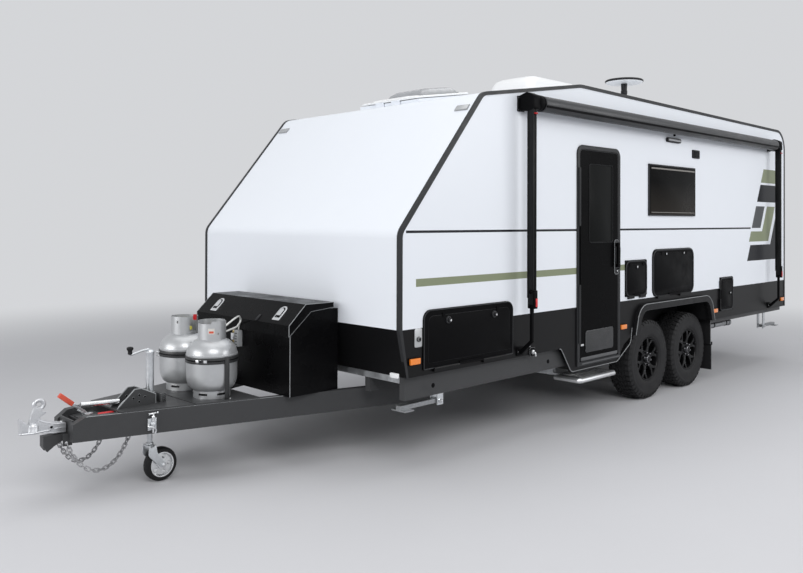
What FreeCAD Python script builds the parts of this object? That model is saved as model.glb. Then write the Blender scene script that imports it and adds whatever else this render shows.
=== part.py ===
# A two-axle travel caravan on its wheels and its jockey wheel, in millimetres.
# Drawn with x = 0 at the front wall and +x to the rear, y = 0 on the centre line
# with the door side at -y, and z = 0 on the ground. save() moves every piece so
# that the origin lies under the middle of the whole caravan.
import FreeCAD, Part
import math
import os

V = FreeCAD.Vector
X = V(1, 0, 0)
Y = V(0, 1, 0)
Z = V(0, 0, 1)
DOOR_SIDE = -1
ROAD_SIDE = 1

# How many flat sides stand for a round outline: wheels, bottles, hubs, small pins,
# hinge knuckles; and how many straight cuts round a corner of a window
wheel_sides = 32
round_sides = 24
hub_sides = 16
pin_sides = 12
knuckle_sides = 8
corner_cuts = 4

# Body shell, given by its side profile
body_length = 6835
body_width = 2450
body_height = 2233
floor_z = 672
rake_rise = 328
rake_back = 70
bend_rise = 984
brow_x = 860
brow_drop = 214
peak_x = 2172
tail_drop = 31
bend_round = 110
brow_round = 120
peak_round = 400
tail_round = 240
wall = 32
floor_thick = 32
half = body_width / 2
peak_z = floor_z + body_height
rake_z = floor_z + rake_rise
bend_z = floor_z + bend_rise
brow_z = peak_z - brow_drop
tail_z = peak_z - tail_drop

# Corner mouldings over the edges of the side walls
mould_reach = 24
mould_out = 5
mould_gap = 0.4

# Wheels: the front axle carries the place of the arches, the door and the lockers
wheel_x = 3490
wheel_spacing = 842
wheel_inset = 59
tyre_r = 388
tyre_width = 246
tread_width = 210
sidewall_width = 236
shoulder_r = 350
bulge_r = 296
bead_r = 209
bead_thick = 14
bead_inset = 4
rim_back = 205
rim_sheet = 10
spoke_count = 6
spoke_disc = 22
spoke_back = 46
spoke_hole_r = 186
spoke_hub_r = 78
spoke_width = 44
spoke_narrow_share = 0.8
hub_clear = 0.2
hub_cap_r = 38
hub_cap_length = 34
drum_r = 128
drum_width = 62
stub_r = 30
hub_play = 1
wheel_face_y = half - wheel_inset

# Wheel arches: cut-out and the flare around it
arch_lead = 385
arch_trail = 358
arch_air = 114
arch_slant = 85
arch_round = 120
flare_reach = 58
flare_out = 36
tub_depth = 357
tub_sheet = 8
arch_front = wheel_x - arch_lead
arch_rear = wheel_x + wheel_spacing + arch_trail
arch_top = tyre_r + tyre_r + arch_air

# Entry door with the apron of the wall that drops around it
door_to_arch = 301
door_width = 686
door_drop = 522
door_sink = 172
door_round = 70
door_frame = 26
door_frame_out = 12
apron_drop = 212
apron_lead = 225
apron_slant = 150
apron_trail = 236
apron_toe = 268
apron_knee = 145
apron_knee_drop = 74
door_gap = 6
door_thick = 34
door_out = 8
door_glass_x = 180
door_glass_width = 382
door_glass_rise = 1048
door_glass_height = 684
door_glass_round = 25
glass_thick = 5
handle_rise = 820
handle_length = 220
handle_width = 32
handle_out = 38
handle_edge = 22
well_depth = 350
well_sheet = 15
door_end = arch_front - door_to_arch
door_x = door_end - door_width
door_top = peak_z - door_drop
door_bottom = floor_z - door_sink
apron_z = floor_z - apron_drop
apron_x = door_x - apron_lead
apron_end = door_end + apron_trail

# Hinges: a barrel on the leaf between two knuckles that stay
hinge_r = 6
hinge_air = 1
hinge_tab = 18
hinge_length_share = 0.8
knuckle_gap = 0.6

# Lockers in the side walls: front edge, width, sill above the floor, height
boot_x = 222
boot_width = 1002
boot_sill = 33
boot_height = 415
boot_round = 70
table_lead = 70
table_width = 870
table_sill = 328
table_height = 465
table_round = 75
small_lead = 580
small_width = 400
small_sill = 361
small_height = 340
rear_locker_trail = 240
rear_locker_width = 340
rear_locker_sill = 73
rear_locker_height = 375
leaf_gap = 5.5
leaf_thick = 26
leaf_out = 10
leaf_hinge_out = leaf_out + hinge_r + hinge_air
lock_r = 16
lock_out = 7
lock_drop = 45
lock_inset_share = 0.2

# Windows: a frame around the hole, with an outer pane over it
window_frame = 38
window_out = 16
window_gap = 0.4
pane_inset = 12
window_round = 0
galley_lead = 148
galley_width = 971
galley_drop = 615
galley_height = 500
bed_window_x = 700
bed_window_width = 620
bed_window_drop = 655
bed_window_height = 400
dining_lead = 40
dining_width = 800

# Suspension
axle_tube = 50
back_plate = 6
back_plate_gap = 2
back_plate_r = 112
spring_leaf = 9
spring_width = 60
spring_count = 4
spring_length = 640
spring_rise = 55
spring_flat = 90
spring_step_share = 0.74
spring_seat = 16
hanger_width = 70
hanger_length = 60

# Chassis
rail_inset = 425
rail_width = 50
rail_drop = 152
rail_height = 100
joist_width = 50
chassis_front = 100
chassis_tail = 20
beam_inset = 50
beam_width = 50
beam_drop = 165
rear_beam_drop = 52
rail_y = half - rail_inset
rail_bottom = floor_z - rail_drop
joist_bottom = rail_bottom + rail_height
chassis_rear = body_length - chassis_tail
beam_y = half - beam_inset

# Drawbar
drawbar_height = 150
drawbar_width = 50
drawbar_nose = -1730
drawbar_nose_y = 146
drawbar_slope = 0.288
drawbar_end = 760
nose_chamfer_length = 72
nose_chamfer_drop = 42
head_plate = 10
tie_x = -1716
tie_low = 8
tie_high = 24
jockey_plate_front = -1462
jockey_plate_rear = -1020
brake_plate_front = -1650
brake_plate_rear = -1480
brake_plate_drop = 50
tray_front = -1010
tray_rear = -590
tray_sheet = 10

# Bracket under the coupling, with a lug for each safety chain
bracket_front = -1862
bracket_width = 56
bracket_sheet = 7
bracket_lip = 66
bracket_toe_x = -1838
bracket_toe = 98
bracket_heel_x = -1790
bracket_heel = 66
bracket_tail = 30
lug_x = -1742
lug_y = 70
lug_sheet = 8
lug_r = 20
lug_hole_r = 10
lug_drop = 36

# Safety chains: each hangs from its lug to a peg on the inner face of its rail
link_length = 45
link_width = 30
link_wire = 8
link_thick = 5
link_corner = 9
link_play = 0.95
near_slack = 104
far_slack = 112
near_hook_x = -1362
near_hook_z = 430
far_hook_x = -1352
far_hook_z = 430
chain_peg_r = 5
chain_peg_length = 20
chain_steps = 2000

# Coupling for a tow ball
ball_r = 25
ball_play = 0.4
socket_relief = 1.6
socket_shoulder = 8
socket_crown_r = 12
ball_x = -1915
housing_r = 38
housing_bottom = 436
housing_top = 499
coupler_nose = -1993
coupler_tip_x = -1986
coupler_tip_z = 541
coupler_tip_width = 13
saddle_x = -1952
saddle_z = 482
coupler_hump_x = -1862
coupler_hump_z = 518
coupler_waist_x = -1795
coupler_waist_z = 487
coupler_rear = -1720
coupler_rear_z = 474
coupler_bottom = 410
coupler_toe_x = -1765
coupler_knee_x = -1880
coupler_width = 62
nose_width = 36
bolt_hole_r = 9
bolt_hole_x = -1815
bolt_hole_z = 450
lever_foot_x = -1926
lever_neck_x = -1903
lever_neck_z = 568
lever_back_x = -1864
lever_width = 22
catch_x = -1842
catch_z = 560
catch_drop = 22
lever_ring_x = -1881
lever_ring_z = 606
lever_ring_r = 29
lever_hole_r = 11

# Hand brake
brake_base_x = -1575
brake_y = 0
brake_base_z = 494
brake_tip_x = -1756
brake_tip_z = 641
brake_r = 10
brake_grip_r = 15
brake_grip_length = 105
brake_block = 60

# Jockey wheel
jockey_x = -1205
jockey_y = -100
post_r = 26
post_bore = 18
post_top = 866
post_bottom = 415
clamp_r = 36
clamp_height = 36
clamp_play = 0.05
gusset_front = -1452
gusset_brow_x = -1334
gusset_brow_z = 641
gusset_top_x = -1290
gusset_rear = -1188
gusset_rear_z = 592
gusset_sheet = 6
gusset_inset = 46
stem_r = 17.5
stem_top = 690
stem_bottom = 252
jockey_wheel_r = 111
jockey_wheel_width = 66
jockey_tread_width = 44
jockey_shoulder = 12
jockey_trail = 76
jockey_rim_r = 82
jockey_rim_well = 14
jockey_hub_r = 22
jockey_hole_r = 14
jockey_hole_ring = 52
jockey_holes = 5
jockey_axle_r = 6
jockey_play = 0.2
fork_sheet = 6
fork_gap = 6
fork_crown = 26
fork_toe = 18
fork_heel = 52
spigot_r = 8
post_cap_r = 16
crank_x = -1341
crank_z = 880
crank_drop = 26
crank_r = 7
crank_knob_r = 15
crank_knob_length = 52

# Gas bottles
bottle_x = -800
bottle_near_y = -200
bottle_far_y = 172
bottle_r = 172
bottle_foot_r = 126
bottle_foot = 50
bottle_knee_r = 158
bottle_knee = 30
bottle_belly = 95
bottle_body_top = 930
bottle_top = 1050
bottle_shoulder = 118
bottle_cap_r = 156
bottle_cap = 58
bottle_crown_r = 96
bottle_crown = 12
bottle_collar_r = 96
bottle_collar_sink = 26
bottle_window = 96
bottle_sheet = 4
valve_r = 16
valve_top = 1020
strap_z = 770
strap_height = 44
strap_sheet = 4
strap_play = 0.5
holder_post = 46

# Toolbox across the drawbar
toolbox_front = -431
toolbox_rear = -6
toolbox_inset = 630
toolbox_wall_top = 985
toolbox_back_top = 1102
toolbox_slope_x = -306
toolbox_sheet = 4
lid_gap = 7
lid_front = -448
lid_brow_z = 1012
lid_top_x = -304
lid_top_z = 1150
lid_rear = -54
lid_flap = 78
lid_fold_back = 47
lid_fold_drop = 55
lid_hinge_z = 1112
toolbox_half = half - toolbox_inset

# Roof fittings
hatch_x = 1060
hatch_length = 680
hatch_half = 375
hatch_border = 55
hatch_kerb = 34
hatch_lid_gap = 6
hatch_lid = 78
hatch_round = 60
hatch_dome = 46
hatch_rim = 24
ac_lead = 278
ac_length = 1150
ac_half = 385
ac_height = 287
ac_corner = 90
ac_waist = 40
ac_waist_drop = 96
ac_top_inset = 120
louvre_count = 6
louvre_pitch = 42
louvre_height = 12
louvre_length = 260
louvre_depth = 30
mast_lead = 1778
mast_inset = 605
mast_r = 16
mast_foot_r = 70
mast_foot = 22
disc_r = 200
disc_rim_r = 190
disc_neck_r = 140
disc_crown_r = 70
disc_thick = 52
disc_belly = 24
disc_brim = 36
disc_height = 365
ac_x = peak_x + ac_lead
mast_x = peak_x + mast_lead
mast_y = mast_inset - half

# Awning
roller_r = 65
roller_drop = 250
roller_out = 105
roller_front = 1372
roller_tail = 590
arm_lead = 28
arm_width = 52
arm_depth = 38
arm_plate_reach = 95
arm_plate_half = 51
arm_plate_sheet = 10
arm_head_rise = 80
arm_rise = 358
arm_foot = 12
arm_foot_rise = 73
arm_foot_width = 46
arm_head = 120
roller_z = peak_z - roller_drop
roller_rear = body_length - roller_tail

# Step under the door
step_inset = 48
step_width = 560
step_drop = 95
step_height = 40
step_depth = 250
step_out = 60
step_rim = 22
step_sheet = 4
step_rail = 30
step_rail_gap = 0.5
step_rail_length = 420
step_x = door_x - step_inset
step_top = door_bottom - step_drop

# Corner legs
leg_front_x = 470
leg_tail = 505
leg_inset = 97
leg_length = 385
leg_width = 44
leg_height = 30
leg_pivot_drop = 52
leg_pin_r = 9
leg_pin_play = 0.5
leg_cheek = 8
leg_cheek_gap = 6
leg_foot_width = 130
leg_foot_length = 90
leg_foot_sheet = 8
leg_rear_x = body_length - leg_tail
leg_y = half - leg_inset

# Under the floor and at the rear
tank_length = 1050
tank_inset = 200
tank_height = 150
front_tank_x = 1500
rear_tank_lead = 260
flap_lead = 110
flap_sheet = 8
flap_width = 270
flap_top = 405
flap_bottom = 120
flap_inset = 320
flap_bar = 24
pipe_lead = 270
pipe_length = 560
pipe_r = 32
pipe_inset = 165
pipe_drop = 107
pipe_sheet = 3
tank_half = rail_y - tank_inset
flap_x = arch_rear + flap_lead
flap_inner_y = half - flap_inset
pipe_x = arch_rear + pipe_lead
pipe_y = half - pipe_inset
pipe_z = floor_z - pipe_drop

# Lamps and fittings on the walls
marker_width = 116
marker_height = 44
marker_out = 16
marker_rise = 93
marker_margin = 100
marker_lead = 287
marker_trail = 58
marker_tail = 163
tail_lamp_width = 90
tail_lamp_height = 420
tail_lamp_rise = 408
tail_lamp_inset = 165
tail_lamp_out = 24
brow_lamp_inset = 150
brow_lamp_width = 70
brow_lamp_height = 22
brow_lamp_out = 18
brow_lamp_share = 0.86
awning_lamp_lead = 210
awning_lamp_length = 280
awning_lamp_height = 60
awning_lamp_out = 30
awning_lamp_drop = 365
outlet_lead = 780
outlet_width = 150
outlet_height = 84
outlet_out = 24
outlet_drop = 465
round_end_share = 0.49

nose_x = coupler_nose
near_reach = half + roller_out + roller_r
far_reach = half + flare_out
rear_reach = body_length + tail_lamp_out
ORIGIN = V(-(nose_x + rear_reach) / 2, (near_reach - far_reach) / 2, 0)


def save(name, *solids):
    """Write one piece, with the origin under the middle of the caravan."""
    piece = Part.makeCompound(list(solids)) if len(solids) > 1 else solids[0].copy()
    piece.translate(ORIGIN)
    piece.exportStep("parts/" + name + ".step")


def report(name, point):
    """Print a joint's place in metres, in the frame of the saved pieces."""
    place = (point + ORIGIN) / 1000
    print("JOINT %s %.6f %.6f %.6f" % (name, place.x, place.y, place.z))


def box(x0, x1, y0, y1, z0, z1):
    return Part.makeBox(x1 - x0, y1 - y0, z1 - z0, V(x0, y0, z0))


def rod(radius, start, end):
    return Part.makeCylinder(radius, (end - start).Length, start, end - start)


def ring(outer, inner, start, end):
    return rod(outer, start, end).cut(rod(inner, start, end))


def skinned(loops):
    """Solid with flat faces through the rings of corners, closed at both ends."""
    faces = [Part.Face(Part.makePolygon(loops[0] + loops[0][:1])),
             Part.Face(Part.makePolygon(loops[-1] + loops[-1][:1]))]
    for low, high in zip(loops, loops[1:]):
        for i, start in enumerate(low):
            faces.append(Part.Face(Part.makePolygon([low[i - 1], start, high[i], high[i - 1],
                                                     low[i - 1]])))
    hull = Part.makeCompound(faces)
    hull.sewShape()
    whole = Part.Solid(Part.Shell(hull.Faces))
    if whole.Volume < 0:
        whole.reverse()
    return whole


def sided(count, centre, axis, side, rows):
    """Solid with count flat sides about an axis; rows are (along the axis, radius)."""
    across = axis.cross(side)
    loops = []
    for along, radius in rows:
        points = []
        for i in range(count):
            turn = 2 * math.pi * i / count
            out = side * math.cos(turn) + across * math.sin(turn)
            points.append(centre + axis * along + out * radius)
        loops.append(points)
    return skinned(loops)


def turning_hole(count, radius):
    """Corner radius of a hole with count sides whose flats lie at radius."""
    return radius / math.cos(math.pi / count)


def peg(count, radius, start, end):
    """Straight pin with count flat sides."""
    axis = (end - start).normalize()
    side = Z if abs(axis.z) * 2 < 1 else X
    side = (side - axis * side.dot(axis)).normalize()
    return sided(count, start, axis, side, [(0, radius), ((end - start).Length, radius)])


def block(corner, a, b, c):
    """Solid with parallel faces on the three edge vectors a, b and c."""
    base = Part.Face(Part.makePolygon([corner, corner + a, corner + a + b, corner + b, corner]))
    return base.extrude(c)


def hinge(centre, along, length, away, to_leaf, leaf_face, drop, seat=0):
    """One hinge as its fixed and its moving pieces: three knuckles on one axis.

    The outer two stay, and the one between them goes with the leaf.
    leaf_face and seat say how far the leaf's face and the fixed face lie behind the
    axis, and drop how far the bracket runs on before it meets what carries it.
    """
    third = length / 3
    fixed, moving = [], []
    for i in (-1, 0, 1):
        start = centre + along * (third * (i - 0.5) + knuckle_gap / 2)
        run = along * (third - knuckle_gap)
        barrel = sided(knuckle_sides, start, along, away,
                       [(0, hinge_r), (third - knuckle_gap, hinge_r)])
        if not i:
            moving.append(barrel)
            moving.append(block(start - away * leaf_face, run,
                                away * (leaf_face + hinge_r / 2), to_leaf * hinge_tab))
            continue
        fixed.append(barrel)
        if drop:
            fixed.append(block(start - away * (hinge_r / 2), run, away * hinge_r,
                               to_leaf * -drop))
        if seat:
            fixed.append(block(start - away * seat - to_leaf * drop, run,
                               away * (seat + hinge_r / 2), to_leaf * -hinge_tab))
    return fixed, moving


def face(corners, place):
    """Flat face inside the corners (a, b, round), set in space by place(a, b)."""
    stops = []
    for i, (a, b, radius) in enumerate(corners):
        here = V(a, b, 0)
        back = V(*corners[i - 1][:2], 0) - here
        ahead = V(*corners[(i + 1) % len(corners)][:2], 0) - here
        back.normalize()
        ahead.normalize()
        turn = back.getAngle(ahead) / 2
        reach = radius / math.tan(turn) if radius else 0
        middle = (back + ahead).normalize() * (radius / math.sin(turn) - radius) if radius else V()
        stops.append([here + back * reach, here + middle, here + ahead * reach])
    edges = []
    for i, (start, middle, end) in enumerate(stops):
        start, middle, end = [place(p.x, p.y) for p in (start, middle, end)]
        if not start.isEqual(end, 0.0001):
            edges.append(Part.Arc(start, middle, end).toShape())
        after = stops[(i + 1) % len(stops)][0]
        edges.append(Part.makeLine(end, place(after.x, after.y)))
    return Part.Face(Part.Wire(edges))


def skin(corners, y0, y1):
    """Side-view outline (x, z, round) with true arcs, run across from y0 to y1."""
    return face(corners, lambda a, b: V(a, y0, b)).extrude(V(0, y1 - y0, 0))


def slab(corners, y0, y1):
    """The same with straight cuts in place of the arcs, for what repeats."""
    return skin(eased(corners), y0, y1)


def plate(points, y0, y1):
    """Side-view outline of sharp corners (x, z) run across from y0 to y1."""
    return slab([(a, b, 0) for a, b in points], y0, y1)


def panel(x, width, z, top, radius):
    """Corners of an upright rectangle in side view."""
    return [(x, z, radius), (x, top, radius), (x + width, top, radius), (x + width, z, radius)]


def squared(corners):
    """The same outline with sharp corners."""
    return [(a, b, 0) for a, b, radius in corners]


def inset(corners, depth):
    """The same clockwise outline with every edge moved inwards by depth."""
    moved = []
    for i, (a, b, radius) in enumerate(corners):
        here = V(a, b, 0)
        back = here - V(*corners[i - 1][:2], 0)
        ahead = V(*corners[(i + 1) % len(corners)][:2], 0) - here
        back.normalize()
        ahead.normalize()
        out_a = V(back.y, -back.x, 0)
        out_b = V(ahead.y, -ahead.x, 0)
        way = (out_a + out_b).normalize()
        shift = way * (depth / way.dot(out_a))
        moved.append((a + shift.x, b + shift.y, max(radius - depth, 0) if radius else 0))
    return moved


def eased(corners):
    """The same outline with straight cuts in place of each round corner."""
    points = []
    for i, (a, b, radius) in enumerate(corners):
        here = V(a, b, 0)
        back = (V(*corners[i - 1][:2], 0) - here).normalize()
        ahead = (V(*corners[(i + 1) % len(corners)][:2], 0) - here).normalize()
        half_turn = back.getAngle(ahead) / 2
        if not radius:
            points.append((a, b, 0))
            continue
        centre = here + (back + ahead).normalize() * (radius / math.sin(half_turn))
        start = here + back * (radius / math.tan(half_turn)) - centre
        sweep = (back.cross(ahead).z > 0) * 2 - 1
        step = sweep * (math.pi - 2 * half_turn) / corner_cuts
        for k in range(corner_cuts + 1):
            turn = k * step
            points.append((centre.x + start.x * math.cos(turn) + start.y * math.sin(turn),
                           centre.y + start.y * math.cos(turn) - start.x * math.sin(turn), 0))
    return points


def mirrored(shape):
    """The same piece on the other side of the centre line."""
    return shape.mirror(V(), Y)


def both_sides(shape):
    return [shape, mirrored(shape)]


def pillow(rows):
    """Box with cut corners that changes size upwards.

    Each row is (x0, x1, half width, z, corner): the box's ends, its reach to each
    side, its height and how much its corners are cut.
    """
    loops = []
    for x0, x1, reach, z, corner in rows:
        loops.append([V(x0 + corner, -reach, z), V(x1 - corner, -reach, z),
                      V(x1, corner - reach, z), V(x1, reach - corner, z),
                      V(x1 - corner, reach, z), V(x0 + corner, reach, z),
                      V(x0, reach - corner, z), V(x0, corner - reach, z)])
    return skinned(loops)


def profile():
    """Corners of the body in side view, clockwise from the front lower corner."""
    return [(rake_back, floor_z, 0), (0, rake_z, 0), (0, bend_z, bend_round),
            (brow_x, brow_z, brow_round), (peak_x, peak_z, peak_round),
            (body_length, tail_z, tail_round), (body_length, floor_z, 0)]


def arch_corners(grow):
    """Corners of a wheel arch, moved out by grow; its foot lies below the wall."""
    foot = floor_z - wall
    return [(arch_front - grow, foot, 0),
            (arch_front - grow + arch_slant, arch_top + grow, arch_round + grow),
            (arch_rear + grow - arch_slant, arch_top + grow, arch_round + grow),
            (arch_rear + grow, foot, 0)]


def window(x, width, drop, height):
    return panel(x, width, peak_z - drop - height, peak_z - drop, window_round)


def windows(side):
    """Outlines of the windows on one side."""
    galley = window(wheel_x - galley_lead, galley_width, galley_drop, galley_height)
    if side == DOOR_SIDE:
        return [galley]
    bed = window(bed_window_x, bed_window_width, bed_window_drop, bed_window_height)
    dining = window(arch_rear - dining_lead, dining_width, galley_drop, galley_height)
    return [bed, galley, dining]


def boot_outline():
    low = floor_z + boot_sill
    top = low + boot_height
    return [(boot_x, low, 0), (boot_x, top, boot_round),
            (boot_x + boot_width, top, boot_round), (boot_x + boot_width, low, 0)]


def locker_panel(x, width, sill, height, radius):
    return panel(x, width, floor_z + sill, floor_z + sill + height, radius)


def low_hinged(name, outline, side):
    """A locker whose leaf folds down on one long hinge, with two locks near its top."""
    (x0, low, _), (_, top, _), (x1, _, _) = outline[:3]
    axis = V((x0 + x1) / 2, side * (half + leaf_hinge_out), low + leaf_gap)
    locks = [(x0 + (x1 - x0) * share, top - lock_drop)
             for share in (lock_inset_share, 1 - lock_inset_share)]
    pair = hinge(axis, X, (x1 - x0) * hinge_length_share, V(0, side, 0), Z,
                 leaf_hinge_out - leaf_out, leaf_gap, leaf_hinge_out)
    return name, outline, axis, pair, locks


def front_hinged(name, outline, side):
    """A locker whose leaf swings forwards, with one lock at its rear edge."""
    (x0, low, _), (_, top, _), (x1, _, _) = outline[:3]
    axis = V(x0 + leaf_gap, side * (half + leaf_hinge_out), (low + top) / 2)
    pair = hinge(axis, Z, (top - low) * hinge_length_share, V(0, side, 0), X,
                 leaf_hinge_out - leaf_out, leaf_gap, leaf_hinge_out)
    return name, outline, axis, pair, [(x1 - lock_drop, axis.z)]


def lockers(side):
    """Each locker on one side: name, outline, hinge place, hinge pieces, lock places."""
    if side == ROAD_SIDE:
        return [low_hinged("boot_door_far", boot_outline(), side)]
    table = locker_panel(wheel_x - table_lead, table_width, table_sill, table_height, table_round)
    small = locker_panel(wheel_x - small_lead, small_width, small_sill, small_height, 0)
    rear = locker_panel(arch_rear + rear_locker_trail, rear_locker_width,
                        rear_locker_sill, rear_locker_height, 0)
    return [low_hinged("boot_door_near", boot_outline(), side),
            low_hinged("table_locker_door", table, side),
            low_hinged("small_locker_door", small, side),
            front_hinged("rear_locker_door", rear, side)]


def door_outline():
    return [(door_x, door_bottom, 0), (door_x, door_top, door_round),
            (door_end, door_top, door_round), (door_end, door_bottom, 0)]


def apron():
    """The wall's lower edge around the door, from the front of it to the rear."""
    return [(apron_x, floor_z), (apron_x + apron_slant, apron_z),
            (apron_end - apron_toe, apron_z), (apron_end - apron_knee, floor_z - apron_knee_drop),
            (apron_end, floor_z)]


def side_wall(side):
    """One side wall as thick as it is, with every opening cut through it."""
    outer = side * half
    inner = side * (half - wall)
    sheet = skin(profile(), outer, inner)
    if side == DOOR_SIDE:
        sheet = sheet.fuse(plate(apron(), outer, inner)).removeSplitter()
        sheet = sheet.cut(slab(door_outline(), outer, inner))
    sheet = sheet.cut(slab(arch_corners(0), outer, inner))
    for outline in windows(side):
        sheet = sheet.cut(slab(squared(inset(outline, window_frame)), outer, inner))
    knuckles = []
    for name, outline, axis, pair, locks in lockers(side):
        sheet = sheet.cut(slab(outline, outer, inner))
        knuckles += pair[0]
    return sheet.multiFuse(knuckles).removeSplitter()


def shell():
    """Front wall, roof and rear wall as one skin between the side walls."""
    outer = skin(profile(), wall - half, half - wall)
    inner = inset(profile(), wall)
    inner[0] = (inner[0][0], floor_z - wall, 0)
    inner[-1] = (inner[-1][0], floor_z - wall, 0)
    return outer.cut(skin(inner, wall - half, half - wall))


def body_shell():
    cover = shell()
    inner_y = half - wall
    rear_x = body_length - wall
    front = cover.common(box(-wall, brow_x, -inner_y, inner_y, floor_z, peak_z))
    roof = cover.common(box(brow_x, rear_x, -inner_y, inner_y, bend_z, peak_z))
    rear = cover.common(box(rear_x, body_length, -inner_y, inner_y, floor_z, peak_z))
    floor = box(0, rear_x, -inner_y, inner_y, floor_z, floor_z + floor_thick).cut(front)
    for outline in both_sides(slab(squared(arch_corners(tub_sheet)), -inner_y, tub_depth - half)):
        floor = floor.cut(outline)
    floor = [piece for piece in floor.Solids if piece.BoundBox.XLength > brow_x][0]
    floor = floor.fuse(well_block(0)).removeSplitter().cut(well_block(well_sheet))
    save("front_wall", front)
    kerb = hatch_block(hatch_lid_gap, -mould_out, hatch_kerb)
    roof = roof.fuse(kerb).removeSplitter()
    roof = roof.cut(hatch_block(hatch_border, -peak_round, peak_round))
    save("roof", roof.multiFuse(hatch_hinge()[1]).removeSplitter())
    save("rear_wall", rear)
    save("floor", floor)
    save("near_wall", side_wall(DOOR_SIDE))
    save("far_wall", side_wall(ROAD_SIDE))


def moulding_band(out, reach):
    """Body profile grown by out, with the band along its edge that is reach wide cut free."""
    edge = inset(profile(), -out)
    hollow = inset(profile(), reach)
    for outline in (edge, hollow):
        foot = floor_z if outline is edge else floor_z - wall
        outline[0] = (outline[0][0], foot, 0)
        outline[-1] = (outline[-1][0], foot, 0)
    return edge, hollow


def mouldings():
    """Angle strips that cover the edges between side walls, front, roof and rear."""
    edge, hollow = moulding_band(mould_out, mould_reach)
    seat = inset(profile(), -mould_gap)
    seat[0] = (seat[0][0], floor_z - wall, 0)
    seat[-1] = (seat[-1][0], floor_z - wall, 0)
    strip = skin(edge, -half - mould_out, mould_reach - half)
    strip = strip.cut(skin(seat, -half, mould_reach - half))
    strip = strip.cut(skin(hollow, -half - mould_out, -half))
    save("corner_mouldings", *both_sides(strip))


def well_block(grow):
    """Outer block of the recess in the floor behind the door, made smaller by grow."""
    return box(door_x - well_sheet + grow, door_end + well_sheet - grow,
               wall - half, wall - half + well_depth - grow,
               apron_z + grow, floor_z + floor_thick)


def entry():
    """Door frame, door leaf with its glass, and the entry recess."""
    outer_y = -half - door_frame_out
    inner_y = wall - half
    outline = door_outline()
    clear = inset(outline, door_frame)
    frame = slab(inset(outline, -door_gap), outer_y, -half).fuse(slab(outline, -half, inner_y))
    frame = frame.cut(slab(clear, outer_y, inner_y)).removeSplitter()
    leaf_y = -half - door_out
    leaf = slab(inset(clear, door_gap), leaf_y, leaf_y + door_thick)
    glass_x = door_x + door_glass_x
    glass_z = door_bottom + door_glass_rise
    glass = panel(glass_x, door_glass_width, glass_z, glass_z + door_glass_height, door_glass_round)
    leaf = leaf.cut(slab(glass, leaf_y, leaf_y + door_thick))
    pane_y = leaf_y + (door_thick - glass_thick) / 2
    pane = slab(glass, pane_y, pane_y + glass_thick)
    height = door_top - door_bottom
    axis = V(door_x + door_frame, outer_y - hinge_r - hinge_air, door_bottom + height / 2)
    fixed, moving = hinge(axis, Z, height * hinge_length_share, -Y, X,
                          leaf_y - axis.y, 0, outer_y - axis.y)
    handle_x = door_end - door_frame - door_gap - handle_edge - handle_width
    handle_z = door_bottom + handle_rise
    grip = box(handle_x, handle_x + handle_width, leaf_y - handle_out, leaf_y,
               handle_z, handle_z + handle_length)
    finger = box(handle_x, handle_x + handle_width, leaf_y - handle_out / 2, leaf_y,
                 handle_z + handle_width, handle_z + handle_length - handle_width)
    save("door_and_window_frames", frame.multiFuse(fixed).removeSplitter(), *window_frames())
    save("entry_door", leaf.multiFuse(moving + [grip.cut(finger)]).removeSplitter())
    save("entry_glass", pane)
    report("entry_door", axis)


def locker_doors():
    """Leaves that fill their openings but for a gap, with locks on their faces."""
    for side in (DOOR_SIDE, ROAD_SIDE):
        outer = side * (half + leaf_out)
        for name, outline, axis, pair, locks in lockers(side):
            leaf = slab(inset(outline, leaf_gap), outer, outer - side * leaf_thick)
            knobs = [peg(pin_sides, lock_r, V(x, outer, z), V(x, outer + side * lock_out, z))
                     for x, z in locks]
            save(name, leaf.multiFuse(pair[1] + knobs).removeSplitter())
            report(name, axis)


def window_frames():
    """Rounded surrounds outside the walls, each with a square sleeve through its hole."""
    frames = []
    for side in (DOOR_SIDE, ROAD_SIDE):
        outer_y = side * (half + window_out)
        inner_y = side * (half - wall)
        for outline in windows(side):
            hole = squared(inset(outline, window_frame + window_gap))
            frame = slab(outline, outer_y, side * half)
            frame = frame.fuse(slab(hole, side * half, inner_y))
            clear = slab(inset(hole, glass_thick), outer_y, inner_y)
            frames.append(frame.cut(clear).removeSplitter())
    return frames


def window_panes():
    """Rounded outer panes, one over the face of each window's frame."""
    panes = []
    for side in (DOOR_SIDE, ROAD_SIDE):
        pane_y = side * (half + window_out + window_gap)
        for outline in windows(side):
            panes.append(slab(inset(outline, pane_inset), pane_y, pane_y + side * glass_thick))
    save("window_panes", *panes)


def arches():
    """Flares on the walls and the square tubs behind them."""
    flare = slab(arch_corners(flare_reach), -half - flare_out, -half)
    flare = flare.cut(slab(arch_corners(0), -half - flare_out, -half))
    flare = flare.cut(box(0, body_length, -half - flare_out, -half, 0, floor_z))
    tub = slab(squared(arch_corners(tub_sheet)), wall - half, tub_depth - half)
    tub = tub.cut(slab(squared(arch_corners(0)), wall - half, tub_depth - tub_sheet - half))
    tub = tub.cut(box(0, body_length, -half, 0, 0, floor_z))
    save("wheel_arches", *(both_sides(flare) + both_sides(tub)))


def tyre(centre, out):
    """Tyre with its bulged side walls and its tread; out points to the outer face."""
    bead_at = tread_width / 2 - bead_inset
    side_rows = [(bead_at, bead_r + bead_thick), (tyre_width / 2, bulge_r),
                 (sidewall_width / 2, shoulder_r), (tread_width / 2, tyre_r)]
    rows = [(-along, radius) for along, radius in side_rows] + side_rows[::-1]
    axis = V(0, out, 0)
    bore = sided(wheel_sides, centre, axis, Z, [(-bead_at, bead_r), (bead_at, bead_r)])
    return sided(wheel_sides, centre, axis, Z, rows).cut(bore)


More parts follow.
